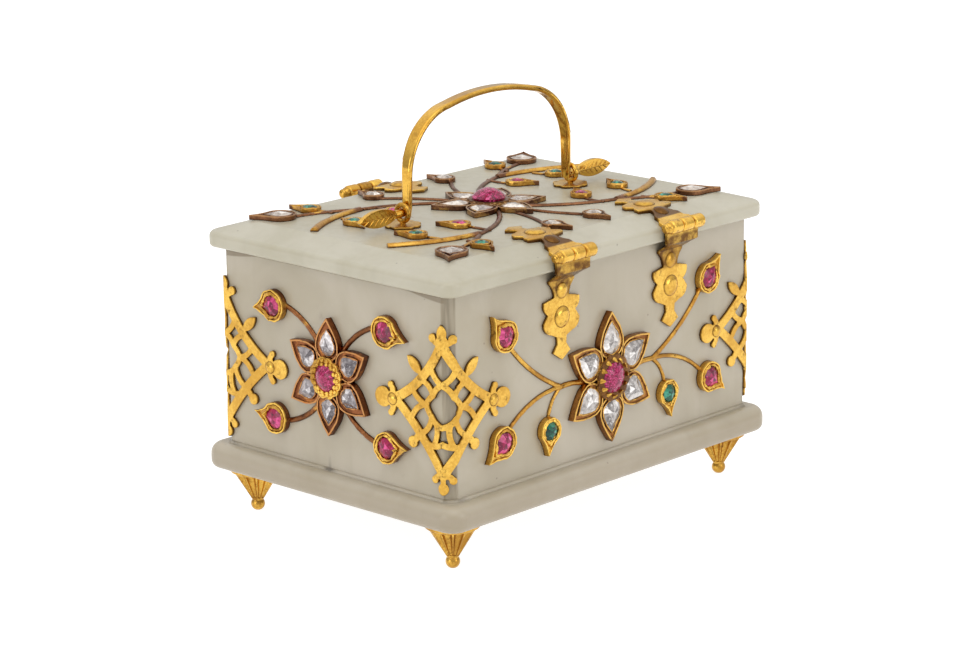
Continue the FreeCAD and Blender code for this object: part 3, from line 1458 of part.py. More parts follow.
def lid_work():
    """Flower and four branching sprays of the lid."""
    start_share = 0.52
    start_turn = 60
    white_start_turn = 76
    fork_share = (0.43, 0.485)
    tip_share = (0.836, 0.297)
    big_share = (0.756, 0.694)
    green_share = 0.694
    inner_share = (0.632, 0.253)
    green_root_share = (0.55, 0.545)
    inner_root_share = (0.60, 0.40)
    ruby_share = (0.382, 0.264)
    ruby_root_share = (0.36, 0.475)
    white_shares = {1: 0.672, -1: 0.66}
    big_turn, green_turn, inner_turn, ruby_turn, white_turn = 38, 74, -70, -60, 95
    root_bow_share, twig_bow_share, bow_share = 0.08, 0.07, 0.06
    half_x = size("lid_length") / 2
    half_y = size("lid_depth") / 2
    # Settings beside the hinge and hasp leaves keep clear of the leaves' edges.
    beside = size("leaf_width") / 2 + size("lid_leaf_radius")
    green_x = -HINGES["left"] + beside + size("spray_gap")
    white_x = {
        1: HINGES["right"] - beside - size("white_gap"),
        -1: beside + size("white_hasp_gap"),
    }
    big = ("lid_big_radius", "lid_big_reach")
    small = ("lid_leaf_radius", "lid_leaf_reach")
    outer, metal, petals, ruby = flower(0, 0, size("lid_flower"), LID_FILL_SHARE, LID_LOW_SHARE)
    spray = Spray(LID_LOW_SHARE)
    for sign_x in (-1, 1):
        for sign_y in (-1, 1):
            sense = sign_x * sign_y

            def spot(share):
                return Vector(sign_x * share[0] * half_x, sign_y * share[1] * half_y, 0)

            def facing(angle):
                return math.degrees(
                    math.atan2(
                        sign_y * math.sin(math.radians(angle)),
                        sign_x * math.cos(math.radians(angle)),
                    )
                )
            fork = spot(fork_share)
            start = along(facing(start_turn), size("lid_flower") * start_share)
            spray.stalk(start, fork, sense * root_bow_share)
            end = spray.bud("diamonds", spot(big_share), facing(big_turn), *big)
            spray.stalk(fork, end, sense * bow_share, BRANCH_SHARES[0])
            spray.stalk(fork, spot(tip_share), sense * twig_bow_share, 1, "twig_width")
            place = Vector(sign_x * green_x, sign_y * green_share * half_y, 0)
            end = spray.bud("emeralds", place, facing(green_turn), *small)
            spray.stalk(spot(green_root_share), end, sense * bow_share, BRANCH_SHARES[1])
            end = spray.bud("emeralds", spot(inner_share), facing(inner_turn), *small)
            spray.stalk(spot(inner_root_share), end, -sense * bow_share, BRANCH_SHARES[2])
            end = spray.bud("rubies", spot(ruby_share), facing(ruby_turn), *small)
            spray.stalk(spot(ruby_root_share), end, -sense * bow_share, BRANCH_SHARES[2])
            place = Vector(sign_x * white_x[sign_y], sign_y * white_shares[sign_y] * half_y, 0)
            end = spray.bud("diamonds", place, facing(white_turn), *small)
            start = along(facing(white_start_turn), size("lid_flower") * start_share)
            spray.stalk(start, end, sense * bow_share, BRANCH_SHARES[1])
    spray.stones["diamonds"] += petals
    spray.stones["rubies"].append(ruby)
    return metal, spray.metal(outer), spray.stones


out_x = size("end_face")
out_y = size("side_face")
foot_z = size("wall_foot")
UP = Vector(0, 0, 1)
FACES = {
    "right": (end_face_work, Vector(out_x, 0, foot_z), Vector(0, 1, 0), UP),
    "left": (end_face_work, Vector(-out_x, 0, foot_z), Vector(0, -1, 0), UP),
    "back": (side_face_work, Vector(0, out_y, foot_z), Vector(-1, 0, 0), UP),
    "front": (side_face_work, Vector(0, -out_y, foot_z), Vector(1, 0, 0), UP),
    "lid": (lid_work, Vector(0, 0, size("lid_top")), Vector(1, 0, 0), Vector(0, 1, 0)),
}
made = {}
for key, (work, middle, across, up) in FACES.items():
    if work not in made:
        made[work] = work()
    metal, sprays, stones = made[work]
    place = Placement(middle, Rotation(across, up, across.cross(up)))
    node(free("flower_mount_" + key, metal, place), "flower_" + key)
    node(free("spray_mount_" + key, sprays, place), "sprays_" + key)
    for kind, shapes in stones.items():
        if shapes:
            node(free("%s_set_%s" % (kind, key), Part.Compound(shapes), place), kind + "_" + key)

doc.recompute()
os.makedirs("parts", exist_ok=True)
for thing in NODES:
    wrong = [s for s in thing.State if s in ("Invalid", "Error")]
    if wrong or thing.Shape.isNull() or not thing.Shape.isValid():
        raise RuntimeError("piece not sound: " + thing.Label)
    thing.Shape.exportStep("parts/%s.step" % thing.Label)
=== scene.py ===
import json
import math
import bpy
from mathutils import Matrix, Vector, bvhtree, kdtree, noise

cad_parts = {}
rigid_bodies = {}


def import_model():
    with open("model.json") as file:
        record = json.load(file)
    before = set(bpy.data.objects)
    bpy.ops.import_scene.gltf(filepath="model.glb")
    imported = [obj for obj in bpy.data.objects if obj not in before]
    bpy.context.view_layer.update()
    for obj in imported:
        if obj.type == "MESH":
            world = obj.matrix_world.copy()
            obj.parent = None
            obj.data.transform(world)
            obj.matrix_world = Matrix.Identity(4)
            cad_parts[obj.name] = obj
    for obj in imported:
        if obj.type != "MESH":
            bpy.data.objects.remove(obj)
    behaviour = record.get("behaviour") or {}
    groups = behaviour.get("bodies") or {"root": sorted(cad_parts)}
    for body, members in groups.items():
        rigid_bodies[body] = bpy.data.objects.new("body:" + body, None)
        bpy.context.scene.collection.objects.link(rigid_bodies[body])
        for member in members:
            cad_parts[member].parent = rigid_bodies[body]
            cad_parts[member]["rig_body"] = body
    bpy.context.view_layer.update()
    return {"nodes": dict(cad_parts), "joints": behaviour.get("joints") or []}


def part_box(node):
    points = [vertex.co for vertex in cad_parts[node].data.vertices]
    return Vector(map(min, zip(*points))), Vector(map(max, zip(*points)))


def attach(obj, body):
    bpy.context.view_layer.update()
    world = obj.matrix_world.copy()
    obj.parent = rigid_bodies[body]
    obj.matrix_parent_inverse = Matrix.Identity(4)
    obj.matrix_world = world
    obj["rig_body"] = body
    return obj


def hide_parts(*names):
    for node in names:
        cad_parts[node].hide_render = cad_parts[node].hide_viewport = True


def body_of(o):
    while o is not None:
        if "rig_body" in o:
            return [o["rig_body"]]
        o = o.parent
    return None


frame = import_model()
nodes = frame["nodes"]
MM = 0.001

# The casket's faces and their places in the frame
CORNERS = ("front_left", "front_right", "back_left", "back_right")
ENDS = ("left", "right")
FACES = ("front", "back", "left", "right", "lid")
OUTWARD = {
    "front": Vector((0, -1, 0)),
    "back": Vector((0, 1, 0)),
    "left": Vector((-1, 0, 0)),
    "right": Vector((1, 0, 0)),
    "lid": Vector((0, 0, 1)),
}
END_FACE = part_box("wall_right")[1].x
SIDE_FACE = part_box("wall_back")[1].y
CORNER_FLAT = 2 * (END_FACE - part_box("wall_back")[1].x)
WALL_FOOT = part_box("wall_back")[0].z
WALL_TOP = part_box("wall_back")[1].z
LID_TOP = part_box("lid_slab")[1].z
LID_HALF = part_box("lid_slab")[1].xy
JOINT_AT = {joint["name"]: Vector(joint["pos_m"]) for joint in frame["joints"]}
HANDLE_PIVOT = JOINT_AT["handle_swing"].z

# Lifts off the stone, in millimetres; the lid's settings are a share as high as the walls'
LID_LOW_SHARE = 0.7
GIRDLE = (1.7, 1.9)
TABLE = 2.4
COLLAR_FOOT = 2.3
GILT_SETTING = 0.45
TWIG_TOP = 1.16

# Worn edges and rolled edges
MERGE_GAP = 0.002 * MM
SAME_PLANE = 0.001 * MM
PLATE_EDGE = 0.16 * MM
ROUND_EDGE = 0.12 * MM
SETTING_EDGE = 0.1 * MM
FOOT_EDGE = 0.07 * MM
EDGE_STEPS = 2
EDGE_TURN = math.radians(35)
MOUNT_TURN = math.radians(50)
ROLL_STEPS = 4
KNUCKLE_ROLL = 0.75 * MM
BARREL_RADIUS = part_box("hinge_lid_leaf_left")[1].y - JOINT_AT["lid_hinge"].y
BARREL_SLACK = 0.1 * MM
ARCH_ROLL = 0.8 * MM
ARCH_FOOT = HANDLE_PIVOT + 3.7 * MM
BOSS_FLAT = 1.75 * MM
BOSS_SQUASH = 0.7
SKIN_SLACK = 0.04 * MM

# Turns between faces that are still shaded as one
WORN_SMOOTH = math.radians(40)
BIT_SMOOTH = math.radians(50)
WIRE_SMOOTH = math.radians(60)

# Settings pressed round the stones
FLOWER_CRIMP = 0.14 * MM
SPRAY_CRIMP = 0.28 * MM
BROAD_CRIMP = 1.5 * MM
FINE_CRIMP = 0.6 * MM
FINE_CRIMP_SHARE = 0.6
WIRE_LUMP = 0.7 * MM
PETAL_WIRE = {"wire": 0.2 * MM, "wobble": 0.5, "out": 0.0}
WALL_BORDER = {"wire": 0.46 * MM, "wobble": 0.8, "out": 0.5 * MM}
LID_BORDER = {"wire": 0.28 * MM, "wobble": 0.8, "out": 0.3 * MM}
GILT_REACH = 2.6 * MM
CRIMP_SEED = 7
noise.seed_set(CRIMP_SEED)

# Stones
SAME_FLAT = math.radians(0.5)
CUT_TURN = math.radians(16)
TABLE_RISE = 0.25 * MM
TONE_STEP = 0.618034
DOME_REACH = 5.0 * MM
LID_DOME_WIDEN = 1.25
LID_DOME_RAISE = 1.75

# Grains and claws round a flower's middle ruby; each ring has a count, a gap and a lift.
# The collar is a share of the flower's radius, and the ruby a share of the collar.
COLLAR_SHARE = 0.36
RUBY_SHARE = 0.64
GRAIN_RADIUS = 0.6 * MM
GRAIN_SHAPE = (1.0, 1.15, 0.75)
OUTER_GRAINS = {"count": 18, "gap": 0.95 * MM, "lift": 0.1}
INNER_GRAINS = {"count": 14, "gap": 0.25 * MM, "lift": 0.25}
CLAW_FOOT = 0.9 * MM
CLAW_TIP = 0.2 * MM
CLAW_LENGTH = 1.8 * MM
CLAW_SET = 0.5 * MM
CLAW_SHAPE = (0.6, 1.0, 1.0)
CLAW_BULGE = 0.3
CLAWS = {"count": 12, "gap": 0.8 * MM, "lift": 0.25, "lean": math.radians(32)}
WANDER = 0.12
WANDER_STEP = 1.7

# Pin ends, the handle's leaves, the lid's twigs and the bedding
KNOB_RADIUS = 1.3 * MM
KNOB_FLAT = 0.55
LEAF_LENGTH = 15.0 * MM
LEAF_FACE = 0.64 * MM
RIB_ENDS = (1.0 * MM, 0.6 * MM)
VEIN_THICK = 0.2 * MM
VEIN_PAIRS = 6
VEIN_FIRST = 2.2 * MM
VEIN_STEP = 1.9 * MM
VEIN_RUN = 1.6 * MM
VEIN_SPAN = 1.75 * MM
VEIN_SWELL, VEIN_SWELL_STEP = 0.2, 0.12
VEIN_TAPER = ((0.0, 1.3), (0.5, 1.0), (1.0, 0.5))
TWIG_FORK = Vector((0.43 * LID_HALF.x, 0.485 * LID_HALF.y))
TWIG_TIP = Vector((0.836 * LID_HALF.x, 0.297 * LID_HALF.y))
TWIG_START = 0.12
TWIG_REACH = 3.0 * MM
BEDDING_THICK = 0.85 * MM

# Tones
STONE_GREY, STONE_PALE = (0.375, 0.343, 0.25), (0.44, 0.410, 0.322)
STREAK_TONE = (0.34, 0.308, 0.23)
STAIN_TONE = (0.22, 0.19, 0.145)
SPECK_TONE = (0.12, 0.10, 0.08)
PLINTH_TONE = (0.29, 0.245, 0.165)
WALL_TINT = (0.95, 0.90, 0.89)
JOINT_TONE = (0.07, 0.055, 0.04)
SMUDGE_TONE = (0.15, 0.13, 0.11)
# Corner flats: streaked dirt with painted shade
CORNER_DIRT_AND_SHADE_TONE = (0.20, 0.16, 0.10)
# Painted shadow under the lid's end, near the corner
WEDGE_SHADOW_TONE = (0.19, 0.145, 0.085)
YELLOW, AMBER = (0.80, 0.50, 0.10), (0.60, 0.33, 0.055)
COPPER, UMBER = (0.27, 0.095, 0.036), (0.13, 0.045, 0.02)
BROWN, DARK = (0.10, 0.04, 0.014), (0.035, 0.014, 0.007)
FLOOR_GREY, FLOOR_PALE = (0.34, 0.34, 0.34), (0.36, 0.36, 0.36)
WHITE = (1.0, 1.0, 1.0, 1.0)

# Dirt on the stone, a darker plinth, and painted shade on the corner flats and under the lid's end; spans
# from a corner's flat and under the lid are in millimetres
PLINTH_FADE = (WALL_FOOT - 4 * MM, WALL_FOOT + 0.5 * MM)
FOOT_FADE = (WALL_FOOT, WALL_FOOT + 1.0 * MM)
LID_FADE = (WALL_TOP, WALL_TOP + 0.2 * MM)
END_FADE = (END_FACE - 1.0 * MM, END_FACE)
JOINT_LEVEL = WALL_FOOT + 0.4 * MM
JOINT_EDGE = (0.15 * MM, 0.5 * MM)
SMUDGE_ACROSS = -1.8 * MM
DASH_EDGE = (1.5 * MM, 3.5 * MM)
STREAK_EDGE = (0.1 * MM, 0.8 * MM)
STREAK_FADE = (WALL_FOOT, WALL_FOOT + 5 * MM)
BY_CORNER = (-4.0, 0.0)
ON_CORNER = (-0.4, 0.1)
WEDGE_RUN = (-16.0, 1.0)
WEDGE_DEPTH = (-0.3, 2.2)
WEDGE_EDGE = (0.0, 0.4)
STAIN_FADE = 1.0 * MM
# A belt on the hinge leaves under the barrel: stain, and painted shade under the lid's rim
HINGE_STAIN_AND_SHADE = (WALL_TOP - 7.6 * MM, WALL_TOP + 2.4 * MM)


# Picking, and building node trees

def let_go():
    """Nothing stays picked, so the next operator acts only on what is picked for it."""
    if bpy.context.object and bpy.context.object.mode != "OBJECT":
        bpy.ops.object.mode_set(mode="OBJECT")
    bpy.ops.object.select_all(action="DESELECT")


def pick(*pieces):
    """Only these pieces are picked, the last one active."""
    let_go()
    for piece in pieces:
        piece.select_set(True)
        bpy.context.view_layer.objects.active = piece


def choose(piece, kind, test):
    """Only the edges or faces of a piece that pass a test are selected, in edit mode."""
    pick(piece)
    bpy.ops.object.mode_set(mode="EDIT")
    bpy.ops.mesh.select_mode(type=kind)
    bpy.ops.mesh.select_all(action="DESELECT")
    bpy.ops.object.mode_set(mode="OBJECT")
    for bit in piece.data.edges if kind == "EDGE" else piece.data.polygons:
        bit.select = test(bit)
    bpy.ops.object.mode_set(mode="EDIT")


def put(tree, kind, settings=None, **sockets):
    """A shader node with its settings and sockets, each by name, or by number as at0 and so on."""
    made = tree.nodes.new(kind)
    for key, value in (settings or {}).items():
        setattr(made, key, value)
    for key, value in sockets.items():
        by_number = key.startswith("at")
        socket = made.inputs[int(key[2:]) if by_number else key.replace("_", " ")]
        if isinstance(value, bpy.types.NodeSocket):
            tree.links.new(value, socket)
        else:
            socket.default_value = value
    return made


def figure(tree, operation, first, second=0.0, third=0.0):
    """Arithmetic between values."""
    return put(tree, "ShaderNodeMath", {"operation": operation}, at0=first, at1=second, at2=third).outputs[0]


def product(tree, first, *others):
    """Several masks multiplied together."""
    for other in others:
        first = figure(tree, "MULTIPLY", first, other)
    return first


def blend(tree, share, first, second, way="MIX"):
    """Two colours mixed by a share; each is a socket or three numbers."""
    settings = {"data_type": "RGBA", "blend_type": way}
    if not isinstance(first, bpy.types.NodeSocket):
        first = (*first, 1.0)
    if not isinstance(second, bpy.types.NodeSocket):
        second = (*second, 1.0)
    return put(tree, "ShaderNodeMix", settings, at0=share, at6=first, at7=second).outputs[2]


def band(tree, value, low, high, to_low=0.0, to_high=1.0):
    """A value stretched from one range to another, held inside it."""
    settings = {"interpolation_type": "SMOOTHSTEP"}
    made = put(tree, "ShaderNodeMapRange", settings, at0=value, at1=low, at2=high, at3=to_low, at4=to_high)
    return made.outputs[0]


def cloud(tree, where, scale, detail=3.0, rough=0.5, twist=0.0):
    """Soft noise over the piece."""
    made = put(tree, "ShaderNodeTexNoise", Vector=where, Scale=scale, Detail=detail, Roughness=rough,
               Distortion=twist)
    return made.outputs["Fac"]


def node_group(name, takes, gives):
    """An effect shared by several finishes, with named inputs and outputs."""
    tree = bpy.data.node_groups.new(name, "ShaderNodeTree")
    for label, value in takes:
        socket = tree.interface.new_socket(label, in_out="INPUT", socket_type="NodeSocketFloat")
        socket.default_value = value
    for label in gives:
        tree.interface.new_socket(label, in_out="OUTPUT", socket_type="NodeSocketFloat")
    return tree, put(tree, "NodeGroupInput"), put(tree, "NodeGroupOutput")


def use(tree, group, **sockets):
    """A shared effect placed in a finish with its own values."""
    return put(tree, "ShaderNodeGroup", {"node_tree": group}, **sockets)


def finish_of(name, **sockets):
    """A new finish: its node tree and its shader, with the values that are the same all over."""
    made = bpy.data.materials.new(name)
    made.use_nodes = True
    shader = made.node_tree.nodes["Principled BSDF"]
    for key, value in sockets.items():
        shader.inputs[key.replace("_", " ")].default_value = value
    return made, made.node_tree, shader


def roughen(tree, shader, height, strength, depth):
    """Small relief on a finish, from a height."""
    bump = put(tree, "ShaderNodeBump", Strength=strength, Distance=depth, Height=height)
    tree.links.new(bump.outputs["Normal"], shader.inputs["Normal"])


# Shared effects

def make_hand_work():
    """Hammer and burnisher marks of hand-worked gold: a height and a tone."""
    tree, inside, out = node_group("hand_work", [("Broad", 240.0), ("Fine", 1500.0)], ["Height", "Tone"])
    where = put(tree, "ShaderNodeTexCoord").outputs["Object"]
    broad = cloud(tree, where, inside.outputs["Broad"], detail=2.0)
    fine = cloud(tree, where, inside.outputs["Fine"], detail=4.0, rough=0.6)
    patch = cloud(tree, where, scale=110.0)
    height = figure(tree, "MULTIPLY_ADD", fine, 0.35, broad)
    tone = figure(tree, "MULTIPLY_ADD", fine, 0.4, product(tree, patch, 0.6))
    tree.links.new(height, out.inputs["Height"])
    tree.links.new(band(tree, tone, 0.38, 0.62), out.inputs["Tone"])
    return tree


def make_lift():
    """Millimetres that a point stands off the stone, and that it lies inside a corner's flat."""
    tree, _, out = node_group("lift_off_stone", [], ["Lift", "Corner"])
    where = put(tree, "ShaderNodeTexCoord").outputs["Object"]
    parts = put(tree, "ShaderNodeSeparateXYZ", Vector=where)
    along = figure(tree, "ABSOLUTE", parts.outputs["X"])
    across = figure(tree, "ABSOLUTE", parts.outputs["Y"])
    end = figure(tree, "SUBTRACT", along, END_FACE)
    side = figure(tree, "SUBTRACT", across, SIDE_FACE)
    both = figure(tree, "SUBTRACT", figure(tree, "ADD", along, across), END_FACE + SIDE_FACE - CORNER_FLAT)
    corner = product(tree, both, math.sqrt(0.5))
    faces = figure(tree, "MAXIMUM", end, side)
    wall = figure(tree, "MAXIMUM", faces, corner)
    top = figure(tree, "SUBTRACT", parts.outputs["Z"], LID_TOP)
    lift = figure(tree, "MAXIMUM", wall, top)
    strip = figure(tree, "SUBTRACT", corner, faces)
    tree.links.new(figure(tree, "DIVIDE", lift, MM), out.inputs["Lift"])
    tree.links.new(figure(tree, "DIVIDE", strip, MM), out.inputs["Corner"])
    return tree


def make_foil():
    """Crumpled foil seen through a stone: each cut face has its own tone, crossed by patches and painted
    glints.
    """
    tree, inside, out = node_group("foil", [("Scale", 900.0)], ["Tone", "PaintedGlint", "Height"])
    where = put(tree, "ShaderNodeTexCoord").outputs["Object"]
    cells = put(tree, "ShaderNodeTexVoronoi", Vector=where, Scale=inside.outputs["Scale"])
    cut = put(tree, "ShaderNodeAttribute", {"attribute_name": "cut"}).outputs["Fac"]
    soft = cloud(tree, where, inside.outputs["Scale"])
    tone = figure(tree, "MULTIPLY_ADD", soft, 0.9, product(tree, cut, 0.5))
    # Painted glints: small bright flecks, and a few facets painted brighter as if they caught the light.
    fleck = band(tree, cloud(tree, where, scale=1500.0, detail=2.0), 0.58, 0.68)
    lit = product(tree, band(tree, cut, 0.72, 0.85), band(tree, soft, 0.4, 0.6, 0.3, 0.9))
    painted_glint = figure(tree, "MAXIMUM", product(tree, fleck, 0.4), lit)
    tree.links.new(band(tree, tone, 0.35, 0.95), out.inputs["Tone"])
    tree.links.new(painted_glint, out.inputs["PaintedGlint"])
    tree.links.new(cells.outputs["Distance"], out.inputs["Height"])
    return tree


HAND_WORK = make_hand_work()
LIFT = make_lift()
FOIL = make_foil()


# Finishes

def begrime_and_shade(tree, where, upright, colour):
    """A warmer plinth and walls, the plinth also darker; dirt in the foot's joint; dirt and painted shade on
    the corner flats; a painted shadow under the lid's end.
    """
    corner = use(tree, LIFT).outputs["Corner"]
    spot = put(tree, "ShaderNodeSeparateXYZ", Vector=where)
    level = spot.outputs["Z"]
    # The plinth is painted darker and warmer, fading out just above the wall's foot.
    plinth = band(tree, level, *PLINTH_FADE, 0.6, 0.0)
    above_foot = band(tree, level, *FOOT_FADE)
    under_lid = band(tree, level, *LID_FADE, 1.0, 0.0)
    at_end = band(tree, spot.outputs["X"], *END_FADE)
    colour = blend(tree, plinth, colour, PLINTH_TONE)
    colour = blend(tree, under_lid, colour, WALL_TINT, "MULTIPLY")

    off_smudge = figure(tree, "ABSOLUTE", figure(tree, "SUBTRACT", spot.outputs["Y"], SMUDGE_ACROSS))
    dash = product(tree, at_end, band(tree, off_smudge, *DASH_EDGE, 1.0, 0.0))
    by_corner = band(tree, corner, *BY_CORNER, 0.0, 0.6)
    off_joint = figure(tree, "ABSOLUTE", figure(tree, "SUBTRACT", level, JOINT_LEVEL))
    line = band(tree, off_joint, *JOINT_EDGE, 1.0, 0.0)
    dirt = band(tree, cloud(tree, where, scale=260.0, detail=4.0, rough=0.6), 0.4, 0.6, 0.1, 0.8)
    joint = product(tree, line, dirt, figure(tree, "MAXIMUM", by_corner, dash))
    colour = blend(tree, joint, colour, JOINT_TONE)

    streak = band(tree, off_smudge, *STREAK_EDGE, 0.55, 0.0)
    rising = band(tree, level, *STREAK_FADE, 1.0, 0.0)
    colour = blend(tree, product(tree, streak, rising, at_end, above_foot), colour, SMUDGE_TONE)

    # The corner flats are painted darker in upright runs: partly dirt, partly painted shade.
    runs = band(tree, cloud(tree, upright, scale=5.0), 0.35, 0.65, 0.45, 0.9)
    strip = product(tree, band(tree, corner, *ON_CORNER), runs, above_foot, under_lid)
    colour = blend(tree, strip, colour, CORNER_DIRT_AND_SHADE_TONE)

    # A wedge under the lid's end, deepest at the corner, is painted shadow of the gap under the lid's rim.
    depth = figure(tree, "DIVIDE", figure(tree, "SUBTRACT", level, WALL_TOP), MM)
    wedge = figure(tree, "ADD", depth, band(tree, corner, *WEDGE_RUN, *WEDGE_DEPTH))
    gap = product(tree, band(tree, wedge, *WEDGE_EDGE, 0.0, 0.8), under_lid, at_end)
    return blend(tree, gap, colour, WEDGE_SHADOW_TONE)


def jade():
    """Pale grey-green stone with clouds, faint upright streaks, stains, specks and dirt in its joints, a
    darker plinth, and painted shade on the corner flats and under the lid's end.
    """
    made, tree, shader = finish_of("pale_jade", Subsurface_Weight=0.15, Subsurface_Scale=0.003, IOR=1.61)
    shader.inputs["Subsurface Radius"].default_value = (1.0, 0.9, 0.7)
    where = put(tree, "ShaderNodeTexCoord").outputs["Object"]
    upright = put(tree, "ShaderNodeMapping", Vector=where, Scale=(210.0, 210.0, 16.0)).outputs["Vector"]
    soft = cloud(tree, where, scale=38.0, detail=5.0, rough=0.55, twist=0.6)
    streaks = cloud(tree, upright, scale=1.0)
    stains = cloud(tree, where, scale=95.0, detail=6.0, rough=0.65)
    specks = put(tree, "ShaderNodeTexVoronoi", Vector=where, Scale=130.0).outputs["Distance"]
    rub = cloud(tree, where, scale=420.0, detail=4.0)
    colour = blend(tree, band(tree, soft, 0.3, 0.7), STONE_GREY, STONE_PALE)
    colour = blend(tree, band(tree, streaks, 0.5, 0.8, 0.0, 0.3), colour, STREAK_TONE)
    colour = blend(tree, band(tree, stains, 0.66, 0.8, 0.0, 0.4), colour, STAIN_TONE)
    colour = blend(tree, band(tree, specks, 0.02, 0.05, 0.5, 0.0), colour, SPECK_TONE)
    tree.links.new(begrime_and_shade(tree, where, upright, colour), shader.inputs["Base Color"])
    tree.links.new(band(tree, rub, 0.3, 0.7, 0.3, 0.42), shader.inputs["Roughness"])
    roughen(tree, shader, soft, 0.25, 0.12 * MM)
    return made


def gold(name, bright, deep, rough, marks, fine=1500.0, dull=0.7, stain_and_shade_belt=None, rubbed=None,
         crown=None, crowned=(1.3, 1.7), grime_and_shade=None, grime_and_shade_lift=(0.1, 0.9)):
    """Hand-worked gold in two tones, with tool marks and tarnish.

    It may have a tone of its own on the rims above a lift, rubbed patches, a belt between two
    heights darkened by stains and painted shade, and grime with painted shade low down.
    """
    made, tree, shader = finish_of(name, Metallic=1.0)
    work = use(tree, HAND_WORK, Fine=fine)
    where = put(tree, "ShaderNodeTexCoord").outputs["Object"]
    lift = use(tree, LIFT).outputs["Lift"]
    colour = blend(tree, work.outputs["Tone"], bright, deep)
    if crown:
        colour = blend(tree, band(tree, lift, *crowned), colour, crown)
    if rubbed:
        patches = cloud(tree, where, scale=190.0, detail=4.0, rough=0.6)
        colour = blend(tree, band(tree, patches, 0.54, 0.66, 0.0, 0.85), colour, rubbed)
    tarnish = band(tree, cloud(tree, where, scale=520.0, detail=5.0, rough=0.65), 0.56, 0.72, 0.0, dull)
    # A belt darkened in patches between two heights: partly stain, partly painted shade.
    if stain_and_shade_belt:
        level = put(tree, "ShaderNodeSeparateXYZ", Vector=where).outputs["Z"]
        rise = band(tree, level, stain_and_shade_belt[0] - STAIN_FADE, stain_and_shade_belt[0] + STAIN_FADE)
        fall = band(tree, level, stain_and_shade_belt[1] - STAIN_FADE, stain_and_shade_belt[1] + STAIN_FADE, 1.0, 0.0)
        patches = band(tree, cloud(tree, where, scale=300.0, detail=4.0, rough=0.6), 0.35, 0.6, 0.35, 0.95)
        tarnish = figure(tree, "MAXIMUM", tarnish, product(tree, rise, fall, patches))
    colour = blend(tree, tarnish, colour, grime_and_shade or BROWN)
    # Low down, near the stone, the gold is darkened: grime, and painted shade on side walls and at the feet
    # of raised work.
    if grime_and_shade:
        colour = blend(tree, band(tree, lift, *grime_and_shade_lift, 0.92, 0.0), colour, grime_and_shade)
    tree.links.new(colour, shader.inputs["Base Color"])
    tree.links.new(band(tree, work.outputs["Tone"], 0.0, 1.0, *rough), shader.inputs["Roughness"])
    roughen(tree, shader, work.outputs["Height"], marks, 0.2 * MM)
    return made


def stone(name, dark, light, painted_glint, metal=0.0):
    """A foil-backed stone: tinted foil with painted glints under a clear polished face."""
    made, tree, shader = finish_of(name, Metallic=metal, Roughness=0.16, Specular_IOR_Level=0.15,
                                   Coat_Weight=0.55, Coat_Roughness=0.02, Coat_IOR=1.5)
    foil = use(tree, FOIL)
    colour = blend(tree, foil.outputs["Tone"], dark, light)
    colour = blend(tree, foil.outputs["PaintedGlint"], colour, painted_glint)
    tree.links.new(colour, shader.inputs["Base Color"])
    roughen(tree, shader, foil.outputs["Height"], 0.18, 0.3 * MM)
    return made


JADE = jade()
PLATE_GOLD = gold("plate_gold", YELLOW, AMBER, rough=(0.26, 0.42), marks=0.3, grime_and_shade=BROWN, grime_and_shade_lift=(0.3, 0.95))
HINGE_GOLD = gold("hinge_gold", YELLOW, AMBER, rough=(0.22, 0.4), marks=0.35, stain_and_shade_belt=HINGE_STAIN_AND_SHADE,
                  grime_and_shade=BROWN, grime_and_shade_lift=(0.3, 0.95))
# Its low band rings each boss's foot with painted shade.
BOSS_GOLD = gold("boss_gold", (0.74, 0.45, 0.085), (0.52, 0.28, 0.045), rough=(0.2, 0.36), marks=0.3,
                 grime_and_shade=BROWN, grime_and_shade_lift=(0.9, 1.45))
ROUND_GOLD = gold("round_gold", (0.68, 0.40, 0.072), (0.36, 0.175, 0.027), rough=(0.12, 0.3), marks=0.3)
HANDLE_GOLD = gold("handle_gold", (0.74, 0.44, 0.08), (0.52, 0.275, 0.042), rough=(0.1, 0.2), marks=0.1,
                   dull=0.3)
FOOT_GOLD = gold("foot_gold", (0.74, 0.44, 0.08), (0.42, 0.21, 0.035), rough=(0.18, 0.34), marks=0.3)
BORDER_GOLD = gold("border_gold", YELLOW, (0.40, 0.19, 0.03), rough=(0.22, 0.42), marks=0.9, fine=2400.0)
BROWN_SPRAY = gold("brown_spray", (0.30, 0.12, 0.045), (0.16, 0.06, 0.023), rough=(0.24, 0.4), marks=0.4,
                   rubbed=(0.62, 0.34, 0.07), crown=YELLOW, crowned=(1.35, 1.75),
                   grime_and_shade=DARK, grime_and_shade_lift=(0.0, 0.45))
LID_SPRAY = gold("lid_spray", (0.25, 0.115, 0.055), (0.13, 0.058, 0.03), rough=(0.24, 0.4), marks=0.4,
                 crown=(0.36, 0.19, 0.085), crowned=(0.95, 1.25), grime_and_shade=DARK, grime_and_shade_lift=(0.0, 0.4))
GOLD_SPRAY = gold("gold_spray", (0.66, 0.38, 0.075), (0.40, 0.19, 0.035), rough=(0.24, 0.4), marks=0.4,
                  crown=YELLOW, crowned=(1.3, 1.7), grime_and_shade=BROWN, grime_and_shade_lift=(0.1, 0.6))
COPPER_PETAL = gold("copper_petal", COPPER, UMBER, rough=(0.26, 0.42), marks=0.35, rubbed=(0.54, 0.20, 0.05),
                    crown=(0.52, 0.25, 0.09), crowned=(1.85, 2.05), grime_and_shade=DARK, grime_and_shade_lift=(0.0, 0.8))
LID_PETAL = gold("lid_petal", (0.18, 0.085, 0.05), (0.09, 0.04, 0.024), rough=(0.26, 0.42), marks=0.35,
                 rubbed=(0.46, 0.27, 0.09), crown=(0.40, 0.24, 0.13), crowned=(1.3, 1.45),
                 grime_and_shade=DARK, grime_and_shade_lift=(0.0, 0.5))
